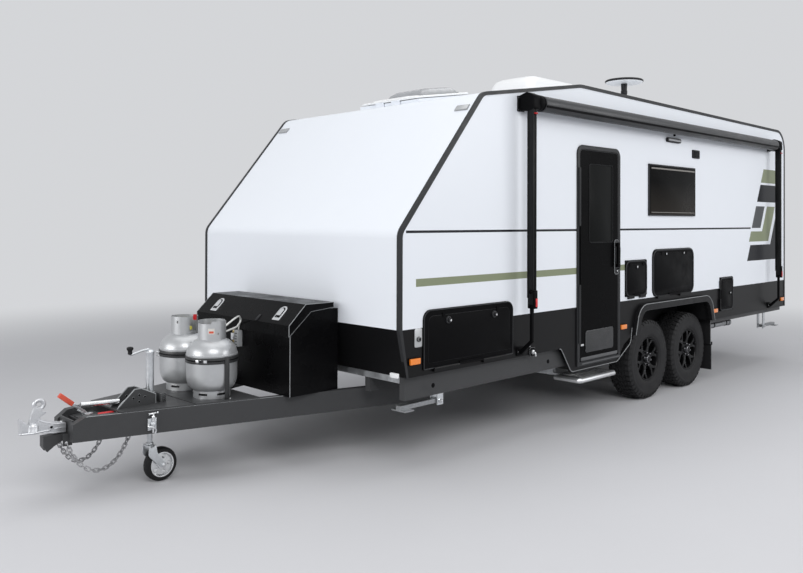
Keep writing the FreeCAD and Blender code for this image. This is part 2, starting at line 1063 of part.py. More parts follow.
def rim(centre, out):
    """Barrel, spoked face, hub with its cap and the brake drum behind."""
    axis = V(0, out, 0)
    face_at = tread_width / 2
    back_at = face_at - rim_back
    disc_at = face_at - spoke_back
    front_at = disc_at + spoke_disc
    seat_r = bead_r - mould_gap
    inner_r = seat_r - rim_sheet

    def turned(count, *rows):
        return sided(count, centre, axis, Z, rows)

    whole = turned(wheel_sides, (back_at, seat_r), (face_at, seat_r))
    whole = whole.cut(turned(wheel_sides, (front_at, inner_r - rim_sheet), (face_at, inner_r)))
    whole = whole.cut(turned(wheel_sides, (back_at, inner_r), (disc_at, inner_r)))
    for i in range(spoke_count):
        angle = 2 * math.pi * (i + 0.5) / spoke_count
        whole = whole.cut(spoke_window(centre + axis * disc_at, axis, angle))
    drum = turned(hub_sides, (disc_at - drum_width, drum_r), (disc_at, drum_r))
    cap = turned(pin_sides, (disc_at, hub_cap_r), (front_at + hub_cap_length, hub_cap_r))
    whole = whole.multiFuse([drum, cap]).removeSplitter()
    bore = turning_hole(hub_sides, stub_r + hub_clear)
    return whole.cut(turned(hub_sides, (disc_at - drum_width, bore), (front_at, bore)))


def spoke_window(centre, axis, angle):
    """One opening between two spokes, cut through the wheel's face."""
    outer = spoke_hole_r
    half_turn = math.pi / spoke_count
    lean = spoke_width / 2
    corners = []
    for radius, way in ((spoke_hub_r, -1), (outer, -1), (outer, 1), (spoke_hub_r, 1)):
        slack = math.asin(min(lean / radius, math.sin(half_turn) * spoke_narrow_share))
        turn = angle + way * (half_turn - slack)
        corners.append((radius * math.cos(turn), radius * math.sin(turn), 0))
    outline = face(corners, lambda a, b: centre + V(a, 0, b))
    return outline.extrude(axis * spoke_disc)


def wheel_centre(index, side):
    return V(wheel_x + wheel_spacing * index, side * (wheel_face_y - tyre_width / 2), tyre_r)


def wheels():
    for row, index in (("front", 0), ("rear", 1)):
        for name, side in (("near", DOOR_SIDE), ("far", ROAD_SIDE)):
            centre = wheel_centre(index, side)
            save("tyre_%s_%s" % (row, name), tyre(centre, side))
            save("rim_%s_%s" % (row, name), rim(centre, side))
            report("wheel_%s_%s" % (row, name), centre)


def axles():
    """Straight axle beams with stubs, back plates inside the drums and leaf springs."""
    beams = []
    for index in (0, 1):
        far = wheel_centre(index, ROAD_SIDE)
        disc_at = tread_width / 2 - spoke_back
        plate_y = far.y + disc_at - drum_width - back_plate_gap
        stub_y = far.y + disc_at - hub_play
        beam = box(far.x - axle_tube / 2, far.x + axle_tube / 2, -plate_y, plate_y,
                   far.z - axle_tube / 2, far.z + axle_tube / 2)
        for side in (DOOR_SIDE, ROAD_SIDE):
            root = V(far.x, side * (plate_y - back_plate), far.z)
            end = V(far.x, side * stub_y, far.z)
            plate_end = V(far.x, side * plate_y, far.z)
            beam = beam.multiFuse([peg(hub_sides, stub_r, root, end),
                                   peg(hub_sides, back_plate_r, root, plate_end),
                                   spring_pack(far.x, side)])
        beams.append(beam.removeSplitter())
    save("axles", *beams)


def spring_pack(x, side):
    """A stack of leaves that rise from the axle to their ends, each shorter than the last."""
    leaves = []
    seat_z = tyre_r + axle_tube / 2 + spring_seat
    y0 = side * rail_y - spring_width / 2
    y1 = y0 + spring_width
    length = spring_length
    for i in range(spring_count):
        low = seat_z + spring_leaf * (spring_count - 1 - i)
        rise = spring_rise * length / spring_length
        lower = [(x - length / 2, low + rise), (x - spring_flat, low),
                 (x + spring_flat, low), (x + length / 2, low + rise)]
        upper = [(a, b + spring_leaf) for a, b in lower[::-1]]
        leaves.append(plate(lower + upper, y0, y1))
        length = length * spring_step_share
    seat = box(x - spring_width / 2, x + spring_width / 2, y0, y1, tyre_r + axle_tube / 2,
               seat_z + spring_leaf * spring_count + spring_seat)
    return leaves[0].multiFuse(leaves[1:] + [seat]).removeSplitter()


def spring_hangers():
    hangers = []
    eye_z = tyre_r + axle_tube / 2 + spring_seat + spring_leaf * (spring_count - 1) + spring_rise
    front_x = wheel_x - spring_length / 2
    rear_x = wheel_x + wheel_spacing + spring_length / 2
    middle_x = wheel_x + wheel_spacing / 2
    for side in (DOOR_SIDE, ROAD_SIDE):
        y = side * rail_y
        packs = [spring_pack(wheel_x + wheel_spacing * index, side) for index in (0, 1)]
        for x, length in ((front_x, hanger_length), (rear_x, hanger_length),
                          (middle_x, wheel_spacing - spring_length + hanger_length)):
            hanger = box(x - length / 2, x + length / 2, y - hanger_width / 2,
                         y + hanger_width / 2, eye_z - spring_leaf * 2, rail_bottom)
            for pack in packs:
                hanger = hanger.cut(pack)
            hangers.append(hanger)
    return hangers


def chassis():
    rail = box(chassis_front, chassis_rear, rail_y - rail_width / 2, rail_y + rail_width / 2,
               rail_bottom, joist_bottom)
    save("chassis_rails", *both_sides(rail))
    inner = beam_y - beam_width
    stations = [chassis_front, (chassis_front + door_x) / 2, door_x - 2 * well_sheet - joist_width,
                door_end + 2 * well_sheet, arch_rear + flare_reach * 2,
                (arch_rear + chassis_rear) / 2, chassis_rear - joist_width]
    joists = [box(x, x + joist_width, -inner, inner, joist_bottom, floor_z) for x in stations]
    save("chassis_joists", *joists)
    front_end = door_x - 2 * well_sheet
    beams = [box(chassis_front, front_end, -beam_y, -inner, floor_z - beam_drop, floor_z),
             box(chassis_front, arch_front - flare_reach, inner, beam_y,
                 floor_z - beam_drop, floor_z)]
    rear = box(arch_rear + flare_reach * 2, chassis_rear, -beam_y, -inner,
               floor_z - rear_beam_drop, floor_z)
    save("side_beams", *(beams + both_sides(rear)))


def drawbar_y(x):
    """Outer face of a drawbar rail at x, as a distance from the centre line."""
    return drawbar_nose_y + drawbar_slope * (x - drawbar_nose)


def drawbar_across():
    """Width of a drawbar rail measured straight across the caravan."""
    return drawbar_width * math.hypot(1, drawbar_slope)


def drawbar_rail(side):
    top = rail_bottom
    bottom = rail_bottom - drawbar_height
    corners = [(drawbar_nose, side * drawbar_y(drawbar_nose)),
               (drawbar_end, side * drawbar_y(drawbar_end)),
               (drawbar_end, side * (drawbar_y(drawbar_end) - drawbar_across())),
               (drawbar_nose, side * (drawbar_y(drawbar_nose) - drawbar_across()))]
    rail = face([(a, b, 0) for a, b in corners], lambda a, b: V(a, b, bottom))
    rail = rail.extrude(V(0, 0, top - bottom))
    notch = plate([(drawbar_nose, top), (drawbar_nose + nose_chamfer_length, top),
                   (drawbar_nose, top - nose_chamfer_drop)], -half, half)
    return rail.cut(notch)


def between_rails(x0, x1, z0, z1, margin):
    """Plate across the drawbar from x0 to x1, its sides along the rails."""
    corners = [(x0, -drawbar_y(x0) + margin, 0), (x1, -drawbar_y(x1) + margin, 0),
               (x1, drawbar_y(x1) - margin, 0), (x0, drawbar_y(x0) - margin, 0)]
    return face(corners, lambda a, b: V(a, b, z0)).extrude(V(0, 0, z1 - z0))


def head_bracket():
    """Channel under the coupling, the tie that carries it, and the chain lugs."""
    low = rail_bottom - drawbar_height
    reach = bracket_width / 2
    tie = between_rails(tie_x, tie_x + head_plate, low + tie_low, rail_bottom - tie_high,
                        drawbar_across())
    side_view = [(bracket_front, coupler_bottom), (bracket_front, coupler_bottom - bracket_lip),
                 (bracket_toe_x, coupler_bottom - bracket_toe),
                 (bracket_heel_x, coupler_bottom - bracket_heel),
                 (tie_x, coupler_bottom - bracket_tail), (tie_x, coupler_bottom)]
    channel = plate(side_view, -reach, reach)
    inside = box(bracket_front + bracket_sheet, tie_x, bracket_sheet - reach, reach - bracket_sheet,
                 low - bracket_lip, coupler_bottom - bracket_sheet)
    pieces = [channel.cut(inside)]
    for side in (DOOR_SIDE, ROAD_SIDE):
        inner = side * lug_y
        outer = side * (lug_y + lug_sheet)
        lug_z = lug_hole(side).z
        lug = plate([(tie_x + head_plate, low + tie_low + lug_drop),
                     (lug_x - lug_r, low + tie_low + lug_drop),
                     (lug_x - lug_r, low + tie_low - lug_drop),
                     (tie_x + head_plate, low + tie_low - lug_drop)], inner, outer)
        pieces.append(lug.cut(peg(knuckle_sides, lug_hole_r, V(lug_x, inner, lug_z),
                                  V(lug_x, outer, lug_z))))
    return tie.multiFuse(pieces).removeSplitter()


def lug_hole(side):
    """Middle of the chain hole in the lug on one side, half way through the plate."""
    return V(lug_x, side * (lug_y + lug_sheet / 2),
             rail_bottom - drawbar_height + tie_low - lug_drop / 2)


def link(centre, way, wide):
    """One chain link about its centre: a flat ring along way, with its ends across wide."""
    loops = []
    for length, width, corner in ((link_length / 2, link_width / 2, link_corner),
                                  (link_length / 2 - link_wire, link_width / 2 - link_wire, 0)):
        cuts = [(length - corner, width), (length, width - corner)] if corner else [(length, width)]
        points = cuts + [(a, -b) for a, b in cuts[::-1]]
        points += [(-a, -b) for a, b in cuts] + [(-a, b) for a, b in cuts[::-1]]
        across = way.cross(wide) * (link_thick / 2)
        corners = [centre + way * a + wide * b - across for a, b in points]
        loops.append(Part.Face(Part.makePolygon(corners + corners[:1])).extrude(across * 2))
    return loops[0].cut(loops[1])


def hang(start, end, slack):
    """Points close together along a chain that hangs from start to end."""
    span = end.x - start.x
    middle = (start.x + end.x) / 2 - slack * math.asinh(
        (end.z - start.z) / (2 * slack * math.sinh(span / (2 * slack))))
    drop = start.z - slack * math.cosh((start.x - middle) / slack)
    points = []
    for i in range(chain_steps + 1):
        share = i / chain_steps
        x = start.x + span * share
        points.append(V(x, start.y + (end.y - start.y) * share,
                        drop + slack * math.cosh((x - middle) / slack)))
    return points


def chain(side, hook_x, hook_z, slack):
    """Links of one safety chain, and the peg on the rail that holds its last link."""
    start = lug_hole(side)
    inner = drawbar_y(hook_x - link_length) - drawbar_across()
    end = V(hook_x, side * (inner - link_thick / 2 - link_play), hook_z)
    pitch = link_length - 2 * link_wire - link_play
    reach = lug_hole_r * math.cos(math.pi / knuckle_sides) - link_wire - 2 * link_play
    wanted = reach + link_length / 2
    last = start
    stations = []
    for point in hang(start, end, slack):
        if (point - last).Length >= wanted:
            stations.append(point)
            last = point
            wanted = pitch
    stations = stations[:len(stations) // 2 * 2]
    links = []
    for i, centre in enumerate(stations):
        ahead = stations[i + 1] if i + 1 < len(stations) else end
        behind = stations[i - 1] if i else start
        way = (ahead - behind).normalize()
        wide = (Y - way * way.y).normalize()
        if i % 2:
            wide = way.cross(wide)
        links.append(link(centre, way, wide))
    hook = stations[-1] + way * (link_length / 2 - link_wire - chain_peg_r - link_play)
    hook.y = side * (inner - chain_peg_length)
    hook_end = V(hook.x, side * (drawbar_y(hook_x) - drawbar_across()), hook.z)
    return links, peg(knuckle_sides, chain_peg_r, hook, hook_end)


def drawbar():
    near_chain, near_peg = chain(DOOR_SIDE, near_hook_x, near_hook_z, near_slack)
    far_chain, far_peg = chain(ROAD_SIDE, far_hook_x, far_hook_z, far_slack)
    save("safety_chains", *(near_chain + far_chain))
    save("drawbar_rails", drawbar_rail(DOOR_SIDE).fuse(near_peg).removeSplitter(),
         drawbar_rail(ROAD_SIDE).fuse(far_peg).removeSplitter())
    top = rail_bottom
    bottom = top - drawbar_height
    brake_top = top - brake_plate_drop + head_plate
    brake_plate = between_rails(brake_plate_front, brake_plate_rear, brake_top - head_plate,
                                brake_top, drawbar_across())
    mount = between_rails(jockey_plate_front, jockey_plate_rear, top, top + head_plate, 0)
    hole = peg(round_sides, post_r + clamp_play, V(jockey_x, jockey_y, bottom),
               V(jockey_x, jockey_y, crank_z))
    collar = peg(hub_sides, clamp_r, V(jockey_x, jockey_y, top + head_plate),
                 V(jockey_x, jockey_y, top + head_plate + clamp_height))
    foot = top + head_plate
    side_view = [(gusset_front, foot), (gusset_brow_x, gusset_brow_z), (gusset_top_x, gusset_brow_z),
                 (gusset_rear, gusset_rear_z), (gusset_rear, foot)]
    cheeks = [plate(side_view, jockey_y + way * gusset_inset, jockey_y + way * (gusset_inset + gusset_sheet))
              for way in (DOOR_SIDE, ROAD_SIDE)]
    clamp = mount.multiFuse([collar] + cheeks).removeSplitter().cut(hole)
    tray = between_rails(tray_front, tray_rear, top, top + tray_sheet, 0)
    save("drawbar_plates", head_bracket(), brake_plate, clamp, tray)


def coupling():
    """Cast head that takes the tow ball from below, with its upright lever."""
    z0 = housing_bottom
    reach = coupler_width / 2
    outline = [(coupler_nose, z0), (coupler_tip_x, coupler_tip_z),
               (coupler_tip_x + coupler_tip_width, coupler_tip_z), (saddle_x, saddle_z),
               (coupler_hump_x, coupler_hump_z), (coupler_waist_x, coupler_waist_z),
               (coupler_rear, coupler_rear_z), (coupler_rear, coupler_bottom),
               (coupler_toe_x, coupler_bottom), (coupler_knee_x, z0)]
    body = plate(outline, -reach, reach)
    taper = [(coupler_nose, -nose_width / 2, 0), (ball_x, -reach, 0), (coupler_rear, -reach, 0),
             (coupler_rear, reach, 0), (ball_x, reach, 0), (coupler_nose, nose_width / 2, 0)]
    plan = face(taper, lambda a, b: V(a, b, coupler_bottom))
    body = body.common(plan.extrude(V(0, 0, coupler_tip_z - coupler_bottom)))
    housing = sided(hub_sides, V(ball_x, 0, z0), Z, X, [(0, housing_r), (housing_top - z0, housing_r)])
    body = body.fuse(housing).removeSplitter()
    socket_r = ball_r + ball_play
    body = body.cut(rod(socket_r, V(ball_x, 0, z0), V(ball_x, 0, z0 + ball_r)))
    chamber_r = socket_r + socket_relief
    body = body.cut(sided(hub_sides, V(ball_x, 0, z0), Z, X,
                          [(ball_r, chamber_r), (ball_r + socket_shoulder, chamber_r),
                           (ball_r + ball_r, socket_crown_r)]))
    body = body.cut(peg(knuckle_sides, bolt_hole_r, V(bolt_hole_x, -half, bolt_hole_z),
                        V(bolt_hole_x, half, bolt_hole_z)))
    arm = plate([(lever_foot_x, saddle_z), (lever_neck_x, lever_neck_z),
                 (lever_ring_x - lever_hole_r, lever_ring_z), (lever_ring_x + lever_hole_r, lever_ring_z),
                 (lever_back_x, catch_z), (catch_x, catch_z), (lever_back_x, catch_z - catch_drop),
                 (coupler_hump_x, coupler_waist_z)], -lever_width / 2, lever_width / 2)
    ring_start = V(lever_ring_x, -lever_width / 2, lever_ring_z)
    ring_end = V(lever_ring_x, lever_width / 2, lever_ring_z)
    lever = arm.fuse(peg(hub_sides, lever_ring_r, ring_start, ring_end)).removeSplitter()
    lever = lever.cut(peg(hub_sides, lever_hole_r, ring_start, ring_end))
    save("coupling", body.fuse(lever).removeSplitter())
    report("ball_socket", V(ball_x, 0, z0))


def hand_brake():
    base = V(brake_base_x, brake_y, brake_base_z)
    tip = V(brake_tip_x, brake_y, brake_tip_z)
    way = (tip - base).normalize()
    bar = peg(pin_sides, brake_r, base, tip)
    grip = peg(pin_sides, brake_grip_r, tip - way * brake_grip_length, tip)
    foot = rail_bottom - brake_plate_drop + head_plate
    stand = box(brake_base_x - brake_block / 2, brake_base_x + brake_block / 2,
                brake_y - brake_r, brake_y + brake_r, foot, brake_base_z + brake_r)
    save("hand_brake", stand.multiFuse([bar, grip]).removeSplitter())


def jockey():
    """Post in its clamp, sliding stem, castor fork and wheel."""
    foot = V(jockey_x, jockey_y, 0)
    post = peg(round_sides, post_r, foot + Z * post_bottom, foot + Z * post_top)
    post = post.cut(peg(hub_sides, post_bore, foot + Z * post_bottom, foot + Z * (post_top - post_r)))
    arm_end = V(crank_x, jockey_y, crank_z - crank_drop)
    arm = peg(knuckle_sides, crank_r, foot + Z * (crank_z - crank_r), arm_end)
    cap = peg(pin_sides, post_cap_r, foot + Z * post_top, foot + Z * (crank_z + crank_r))
    knob = peg(pin_sides, crank_knob_r, arm_end - Z * crank_r, arm_end + Z * crank_knob_length)
    save("jockey_post", post.multiFuse([arm, cap, knob]).removeSplitter())
    stem = peg(hub_sides, stem_r, foot + Z * stem_bottom, foot + Z * stem_top)
    crown_top = stem_bottom - jockey_play
    crown_bottom = crown_top - fork_sheet * 2
    spigot = peg(pin_sides, spigot_r, foot + Z * (crown_bottom + fork_sheet / 2),
                 foot + Z * stem_bottom)
    save("jockey_stem", stem.fuse(spigot))
    axle = V(jockey_x + jockey_trail, jockey_y, jockey_wheel_r)
    outer = jockey_wheel_width / 2 + fork_gap + fork_sheet
    crown = box(jockey_x - fork_crown, jockey_x + fork_crown, jockey_y - outer, jockey_y + outer,
                crown_bottom, crown_top)
    cheek = [(jockey_x - fork_crown, crown_top), (jockey_x + fork_crown, crown_top),
             (axle.x + fork_toe, axle.z), (axle.x, axle.z - fork_toe),
             (jockey_x - fork_crown, crown_bottom - fork_heel)]
    pieces = [peg(pin_sides, jockey_axle_r, axle - Y * outer, axle + Y * outer)]
    for side in (DOOR_SIDE, ROAD_SIDE):
        y = jockey_y + side * outer
        pieces.append(plate(cheek, y - side * fork_sheet, y))
    fork = crown.multiFuse(pieces).removeSplitter()
    save("jockey_fork", fork.cut(peg(pin_sides, turning_hole(pin_sides, spigot_r + jockey_play),
                                     foot + Z * crown_bottom, foot + Z * stem_bottom)))
    jockey_wheel(axle)
    report("jockey_slide", foot)
    report("jockey_swivel", foot)
    report("jockey_wheel", axle)


def jockey_wheel(axle):
    """Pressed rim with a ring of holes, and its solid tyre."""
    at = jockey_wheel_width / 2
    seat_r = jockey_rim_r - mould_gap
    well = at - jockey_rim_well
    solid = sided(round_sides, axle, Y, Z, [(-at, seat_r), (at, seat_r)])
    for side in (DOOR_SIDE, ROAD_SIDE):
        dish = sided(round_sides, axle, Y * side, Z, [(well, seat_r - jockey_rim_well),
                                                      (at, seat_r - jockey_rim_well / 2)])
        solid = solid.cut(dish)
    hub = sided(pin_sides, axle, Y, Z, [(-at, jockey_hub_r), (at, jockey_hub_r)])
    solid = solid.fuse(hub).removeSplitter()
    for i in range(jockey_holes):
        turn = 2 * math.pi * i / jockey_holes
        middle = axle + V(math.cos(turn), 0, math.sin(turn)) * jockey_hole_ring
        solid = solid.cut(peg(knuckle_sides, jockey_hole_r, middle - Y * at, middle + Y * at))
    save("jockey_rim", solid.cut(peg(pin_sides, turning_hole(pin_sides, jockey_axle_r + jockey_play),
                                     axle - Y * at, axle + Y * at)))
    tread = jockey_tread_width / 2
    low_r = jockey_wheel_r - jockey_shoulder
    rubber = sided(round_sides, axle, Y, Z, [(-at, low_r), (-tread, jockey_wheel_r),
                                             (tread, jockey_wheel_r), (at, low_r)])
    save("jockey_tyre", rubber.cut(sided(round_sides, axle, Y, Z,
                                         [(-at, jockey_rim_r), (at, jockey_rim_r)])))


def bottle(y):
    """Gas bottle: round body, foot ring, collar with its opening, and valve."""
    base = V(bottle_x, y, rail_bottom + tray_sheet)
    height = bottle_body_top - base.z
    rows = [(0, bottle_foot_r), (bottle_foot, bottle_foot_r),
            (bottle_foot + bottle_knee, bottle_knee_r), (bottle_foot + bottle_belly, bottle_r),
            (height - bottle_shoulder, bottle_r), (height - bottle_cap, bottle_cap_r),
            (height - bottle_crown, bottle_crown_r), (height, bottle_crown_r / 2)]
    body = sided(round_sides, base, Z, X, rows)
    low = bottle_body_top - bottle_collar_sink
    start = V(bottle_x, y, low)
    rise = bottle_top - low
    collar = sided(round_sides, start, Z, X, [(0, bottle_collar_r), (rise, bottle_collar_r)])
    inner_r = bottle_collar_r - bottle_sheet
    collar = collar.cut(sided(round_sides, start, Z, X, [(0, inner_r), (rise, inner_r)]))
    collar = collar.cut(box(bottle_x - bottle_r, bottle_x, y - bottle_window / 2,
                            y + bottle_window / 2, bottle_body_top, bottle_top))
    valve = peg(knuckle_sides, valve_r, V(bottle_x, y, bottle_body_top - valve_r),
                V(bottle_x, y, valve_top))
    return body.multiFuse([collar, valve]).removeSplitter()


def gas_bottles():
    save("gas_bottles", bottle(bottle_near_y), bottle(bottle_far_y))
    straps = []
    inner = bottle_r + strap_play
    for y in (bottle_near_y, bottle_far_y):
        low = V(bottle_x, y, strap_z)
        strap, hole = [sided(round_sides, low, Z, X, [(0, radius), (strap_height, radius)])
                       for radius in (inner + strap_sheet, inner)]
        straps.append(strap.cut(hole))
    post_x = bottle_x + inner + strap_sheet / 2
    middle = (bottle_near_y + bottle_far_y) / 2
    post = box(post_x, post_x + holder_post, bottle_near_y, bottle_far_y,
               strap_z, strap_z + strap_height)
    leg = box(post_x, post_x + holder_post, middle - holder_post / 2, middle + holder_post / 2,
              rail_bottom + tray_sheet, strap_z)
    save("bottle_holder", straps[0].multiFuse([straps[1], post, leg]).removeSplitter())


def toolbox():
    """Open box with sloping cheeks, and a lid with a sloping front that shuts over it."""
    outline = [(toolbox_front, rail_bottom, 0), (toolbox_front, toolbox_wall_top, 0),
               (toolbox_slope_x, toolbox_back_top, 0), (toolbox_rear, toolbox_back_top, 0),
               (toolbox_rear, rail_bottom, 0)]
    body = slab(outline, -toolbox_half, toolbox_half)
    hollow = inset(outline, toolbox_sheet)
    hollow[1] = (hollow[1][0], lid_top_z, 0)
    hollow[2] = (lid_rear, lid_top_z, 0)
    hollow[3] = (lid_rear, toolbox_back_top - toolbox_sheet, 0)
    hollow.insert(4, (hollow[4][0], toolbox_back_top - toolbox_sheet, 0))
    inner_y = toolbox_half - toolbox_sheet
    axis = V(lid_rear + hinge_r + hinge_air, 0, lid_hinge_z)
    fixed, moving = hinge(axis, Y, 2 * toolbox_half * hinge_length_share, X, Z,
                          hinge_r + hinge_air, lid_hinge_z - toolbox_back_top)
    body = body.cut(slab(hollow, -inner_y, inner_y)).multiFuse(fixed)
    save("toolbox", body.removeSplitter())
    outer = toolbox_half + lid_gap + toolbox_sheet
    cover = [(lid_front, lid_brow_z - lid_flap, 0), (lid_front, lid_brow_z, 0),
            (lid_top_x, lid_top_z, 0), (lid_rear, lid_top_z, 0), (lid_rear, lid_hinge_z, 0),
            (lid_top_x + lid_fold_back, lid_top_z - lid_fold_drop, 0)]
    lid = slab(cover, -outer, outer)
    under = inset(cover[1:4] + [(lid_rear, 0, 0), (lid_front, 0, 0)], toolbox_sheet)
    lid = lid.cut(slab(under, toolbox_sheet - outer, outer - toolbox_sheet))
    save("toolbox_lid", lid.multiFuse(moving).removeSplitter())
    report("toolbox_lid", axis)


def slope_lean():
    """Angle of the front roof slope, in radians."""
    return math.atan2(peak_z - brow_z, peak_x - brow_x)


def on_slope(a, b, c):
    """Point on the front roof slope: a up the slope, b across, c out from the roof."""
    lean = slope_lean()
    foot = V(hatch_x, 0, brow_z + (hatch_x - brow_x) * math.tan(lean))
    return foot + V(a * math.cos(lean) - c * math.sin(lean), b,
                    a * math.sin(lean) + c * math.cos(lean))


def tilted(shape):
    """The piece moved from level at the origin up on to the front roof slope."""
    shape.rotate(V(), Y, -math.degrees(slope_lean()))
    shape.translate(on_slope(0, 0, 0))
    return shape


def hatch_block(margin, z0, z1):
    """Block over the roof hatch, upright from the sloping roof, shrunk by margin."""
    reach = hatch_half - margin
    return tilted(box(margin, hatch_length - margin, -reach, reach, z0, z1))


def hatch_hinge():
    """Hinge along the front edge of the hatch lid: axis, fixed and moving pieces."""
    lift = hatch_kerb + hatch_lid_gap
    axis = on_slope(-hinge_r - hinge_air, 0, lift)
    forward = on_slope(-1, 0, 0) - on_slope(0, 0, 0)
    up = on_slope(0, 0, 1) - on_slope(0, 0, 0)
    return (axis,) + hinge(axis, Y, hatch_half * hinge_length_share, forward, up,
                           hinge_r + hinge_air, lift)


def hatch_cover():
    """Domed lid with cut corners, hollow from below."""
    low = hatch_kerb + hatch_lid_gap
    top = low + hatch_lid

    def dome(margin, base, crown):
        mid = margin + hatch_dome
        return pillow([(margin, hatch_length - margin, hatch_half - margin, base, hatch_round),
                       (margin, hatch_length - margin, hatch_half - margin, low + hatch_rim,
                        hatch_round),
                       (mid, hatch_length - mid, hatch_half - mid, crown, hatch_round)])

    lid = dome(0, low, top).cut(dome(hatch_lid_gap, low - hatch_rim, top - hatch_lid_gap))
    axis, fixed, moving = hatch_hinge()
    save("hatch_lid", tilted(lid).multiFuse(moving).removeSplitter())
    report("hatch_lid", axis)


def roof_fittings():
    hatch_cover()
    air_conditioner()
    fall = (peak_z - tail_z) / (body_length - peak_x)
    roof_z = peak_z - fall * (mast_x - peak_x)
    foot = V(mast_x, mast_y, roof_z)
    base = peg(pin_sides, mast_foot_r, foot - Z * mast_foot, foot + Z * mast_foot)
    mast = peg(pin_sides, mast_r, foot, foot + Z * (disc_height - disc_thick))
    rows = [(0, disc_neck_r), (disc_belly, disc_r), (disc_brim, disc_rim_r),
            (disc_thick, disc_crown_r)]
    head = sided(round_sides, foot + Z * (disc_height - disc_thick), Z, X, rows)
    whole = base.multiFuse([mast, head]).removeSplitter()
    save("antenna", whole.cut(skin(profile(), -half, half)))


def air_conditioner():
    """Pillow-shaped cover with louvres in both of its sides."""
    low = peak_z - wall
    top = peak_z + ac_height
    waist = top - ac_waist_drop
    end = ac_x + ac_length
    cover = pillow([(ac_x, end, ac_half, low, ac_corner),
                    (ac_x + ac_waist / 2, end - ac_waist / 2, ac_half - ac_waist / 2, waist, ac_corner),
                    (ac_x + ac_waist * 2, end - ac_waist * 2, ac_half - ac_waist * 2, top, ac_corner)])
    slots = []
    for side in (DOOR_SIDE, ROAD_SIDE):
        for i in range(louvre_count):
            x = end - ac_top_inset - louvre_length
            z = waist - louvre_height * 2 * (i + 1)
            y0, y1 = sorted((side * (ac_half - louvre_depth), side * ac_half))
            slots.append(box(x, x + louvre_length, y0, y1, z, z + louvre_height))
    save("air_conditioner", cover.cut(slots).cut(skin(profile(), -half, half)))


def awning():
    """Rolled canopy in its tube, on an arm at each end that runs down the wall."""
    y = -half - roller_out
    start = V(roller_front, y, roller_z)
    end = V(roller_rear, y, roller_z)
    roller = rod(roller_r, start, end)
    arm_top = roller_z + arm_head_rise
    arm_bottom = floor_z + arm_rise
    edge, hollow = moulding_band(mould_out + mould_gap, mould_reach + mould_gap)
    clear = skin(edge, -half - mould_out - mould_gap, -half)
    clear = clear.cut(skin(hollow, -half - mould_out - mould_gap, -half))
    arms = []
    for tip, way in ((roller_front, 1), (roller_rear, -1)):
        x = tip + way * arm_lead
        x0, x1 = sorted((x, x + way * arm_width))
        arm = box(x0, x1, -half - arm_depth, -half, arm_bottom, arm_top)
        head = box(x0, x1, y, -half, arm_top - arm_head, arm_top)
        near, far = sorted((tip - way * arm_plate_reach, x))
        cap = box(near, far, -half - arm_plate_sheet, -half,
                  roller_z - arm_plate_half, roller_z + arm_plate_half)
        middle = (x0 + x1) / 2
        foot = box(middle - arm_foot_width / 2, middle + arm_foot_width / 2,
                   -half - arm_foot, -half, floor_z + arm_foot_rise, arm_bottom)
        arms.append(arm.multiFuse([head, cap, foot]).removeSplitter().cut(clear))
    save("awning", roller.multiFuse(arms).removeSplitter())


def step():
    """Pull-out step: a tread tray on two arms. Gives back the rails that it slides in."""
    outer = -half - step_out
    inner = outer + step_depth
    tread = box(step_x, step_x + step_width, outer, inner, step_top - step_height, step_top)
    tread = tread.cut(box(step_x + step_sheet, step_x + step_width - step_sheet,
                          outer + step_sheet, inner - step_sheet,
                          step_top - step_height, step_top - step_sheet))
    arms = []
    rails = []
    for x in (step_x + step_rim, step_x + step_width - step_rim - step_rail):
        arms.append(box(x, x + step_rail, inner - step_rim, inner + step_rail_length,
                        step_top - step_sheet, step_top - step_sheet + step_rail / 2))
        low = step_top - step_sheet - step_rail_gap - step_sheet
        top = step_top - step_sheet + step_rail / 2 + step_rail_gap
        rail = box(x - step_rail_gap - step_sheet, x + step_rail + step_rail_gap + step_sheet,
                   inner + step_rail, inner + step_rail_length, low, apron_z)
        rail = rail.cut(box(x - step_rail_gap, x + step_rail + step_rail_gap,
                            inner + step_rail, inner + step_rail_length, low + step_sheet, top))
        rails.append(rail)
    save("step", tread.multiFuse(arms).removeSplitter())
    report("step", V(step_x + step_width / 2, outer, step_top))
    return rails


def corner_leg(x, way, side):
    """Drop-down corner leg that lies under the chassis, its pivot at x."""
    y = side * leg_y
    pivot = V(x, y, floor_z - beam_drop - leg_pivot_drop)
    tip_x = x + way * leg_length
    x0, x1 = sorted((x - way * leg_height / 2, tip_x))
    arm = box(x0, x1, y - leg_width / 2, y + leg_width / 2,
              pivot.z - leg_height / 2, pivot.z + leg_height / 2)
    f0, f1 = sorted((tip_x, tip_x - way * leg_foot_length))
    foot = box(f0, f1, y - leg_foot_width / 2, y + leg_foot_width / 2,
               pivot.z - leg_height / 2 - leg_foot_sheet, pivot.z - leg_height / 2)
    hole = peg(pin_sides, leg_pin_r + leg_pin_play, pivot - Y * leg_width, pivot + Y * leg_width)
    return arm.fuse(foot).removeSplitter().cut(hole), pivot


def leg_bracket(pivot, top):
    """Two cheeks and a pin that carry a corner leg."""
    reach = leg_width / 2 + leg_cheek_gap
    cheeks = []
    for side in (DOOR_SIDE, ROAD_SIDE):
        y0, y1 = sorted((pivot.y + side * reach, pivot.y + side * (reach + leg_cheek)))
        cheeks.append(box(pivot.x - leg_height, pivot.x + leg_height, y0, y1,
                          pivot.z - leg_height, top))
    pin = peg(pin_sides, leg_pin_r, pivot - Y * reach, pivot + Y * reach)
    roof = box(pivot.x - leg_height, pivot.x + leg_height, pivot.y - reach, pivot.y + reach,
               top - leg_cheek, top)
    return cheeks[0].multiFuse([cheeks[1], pin, roof]).removeSplitter()


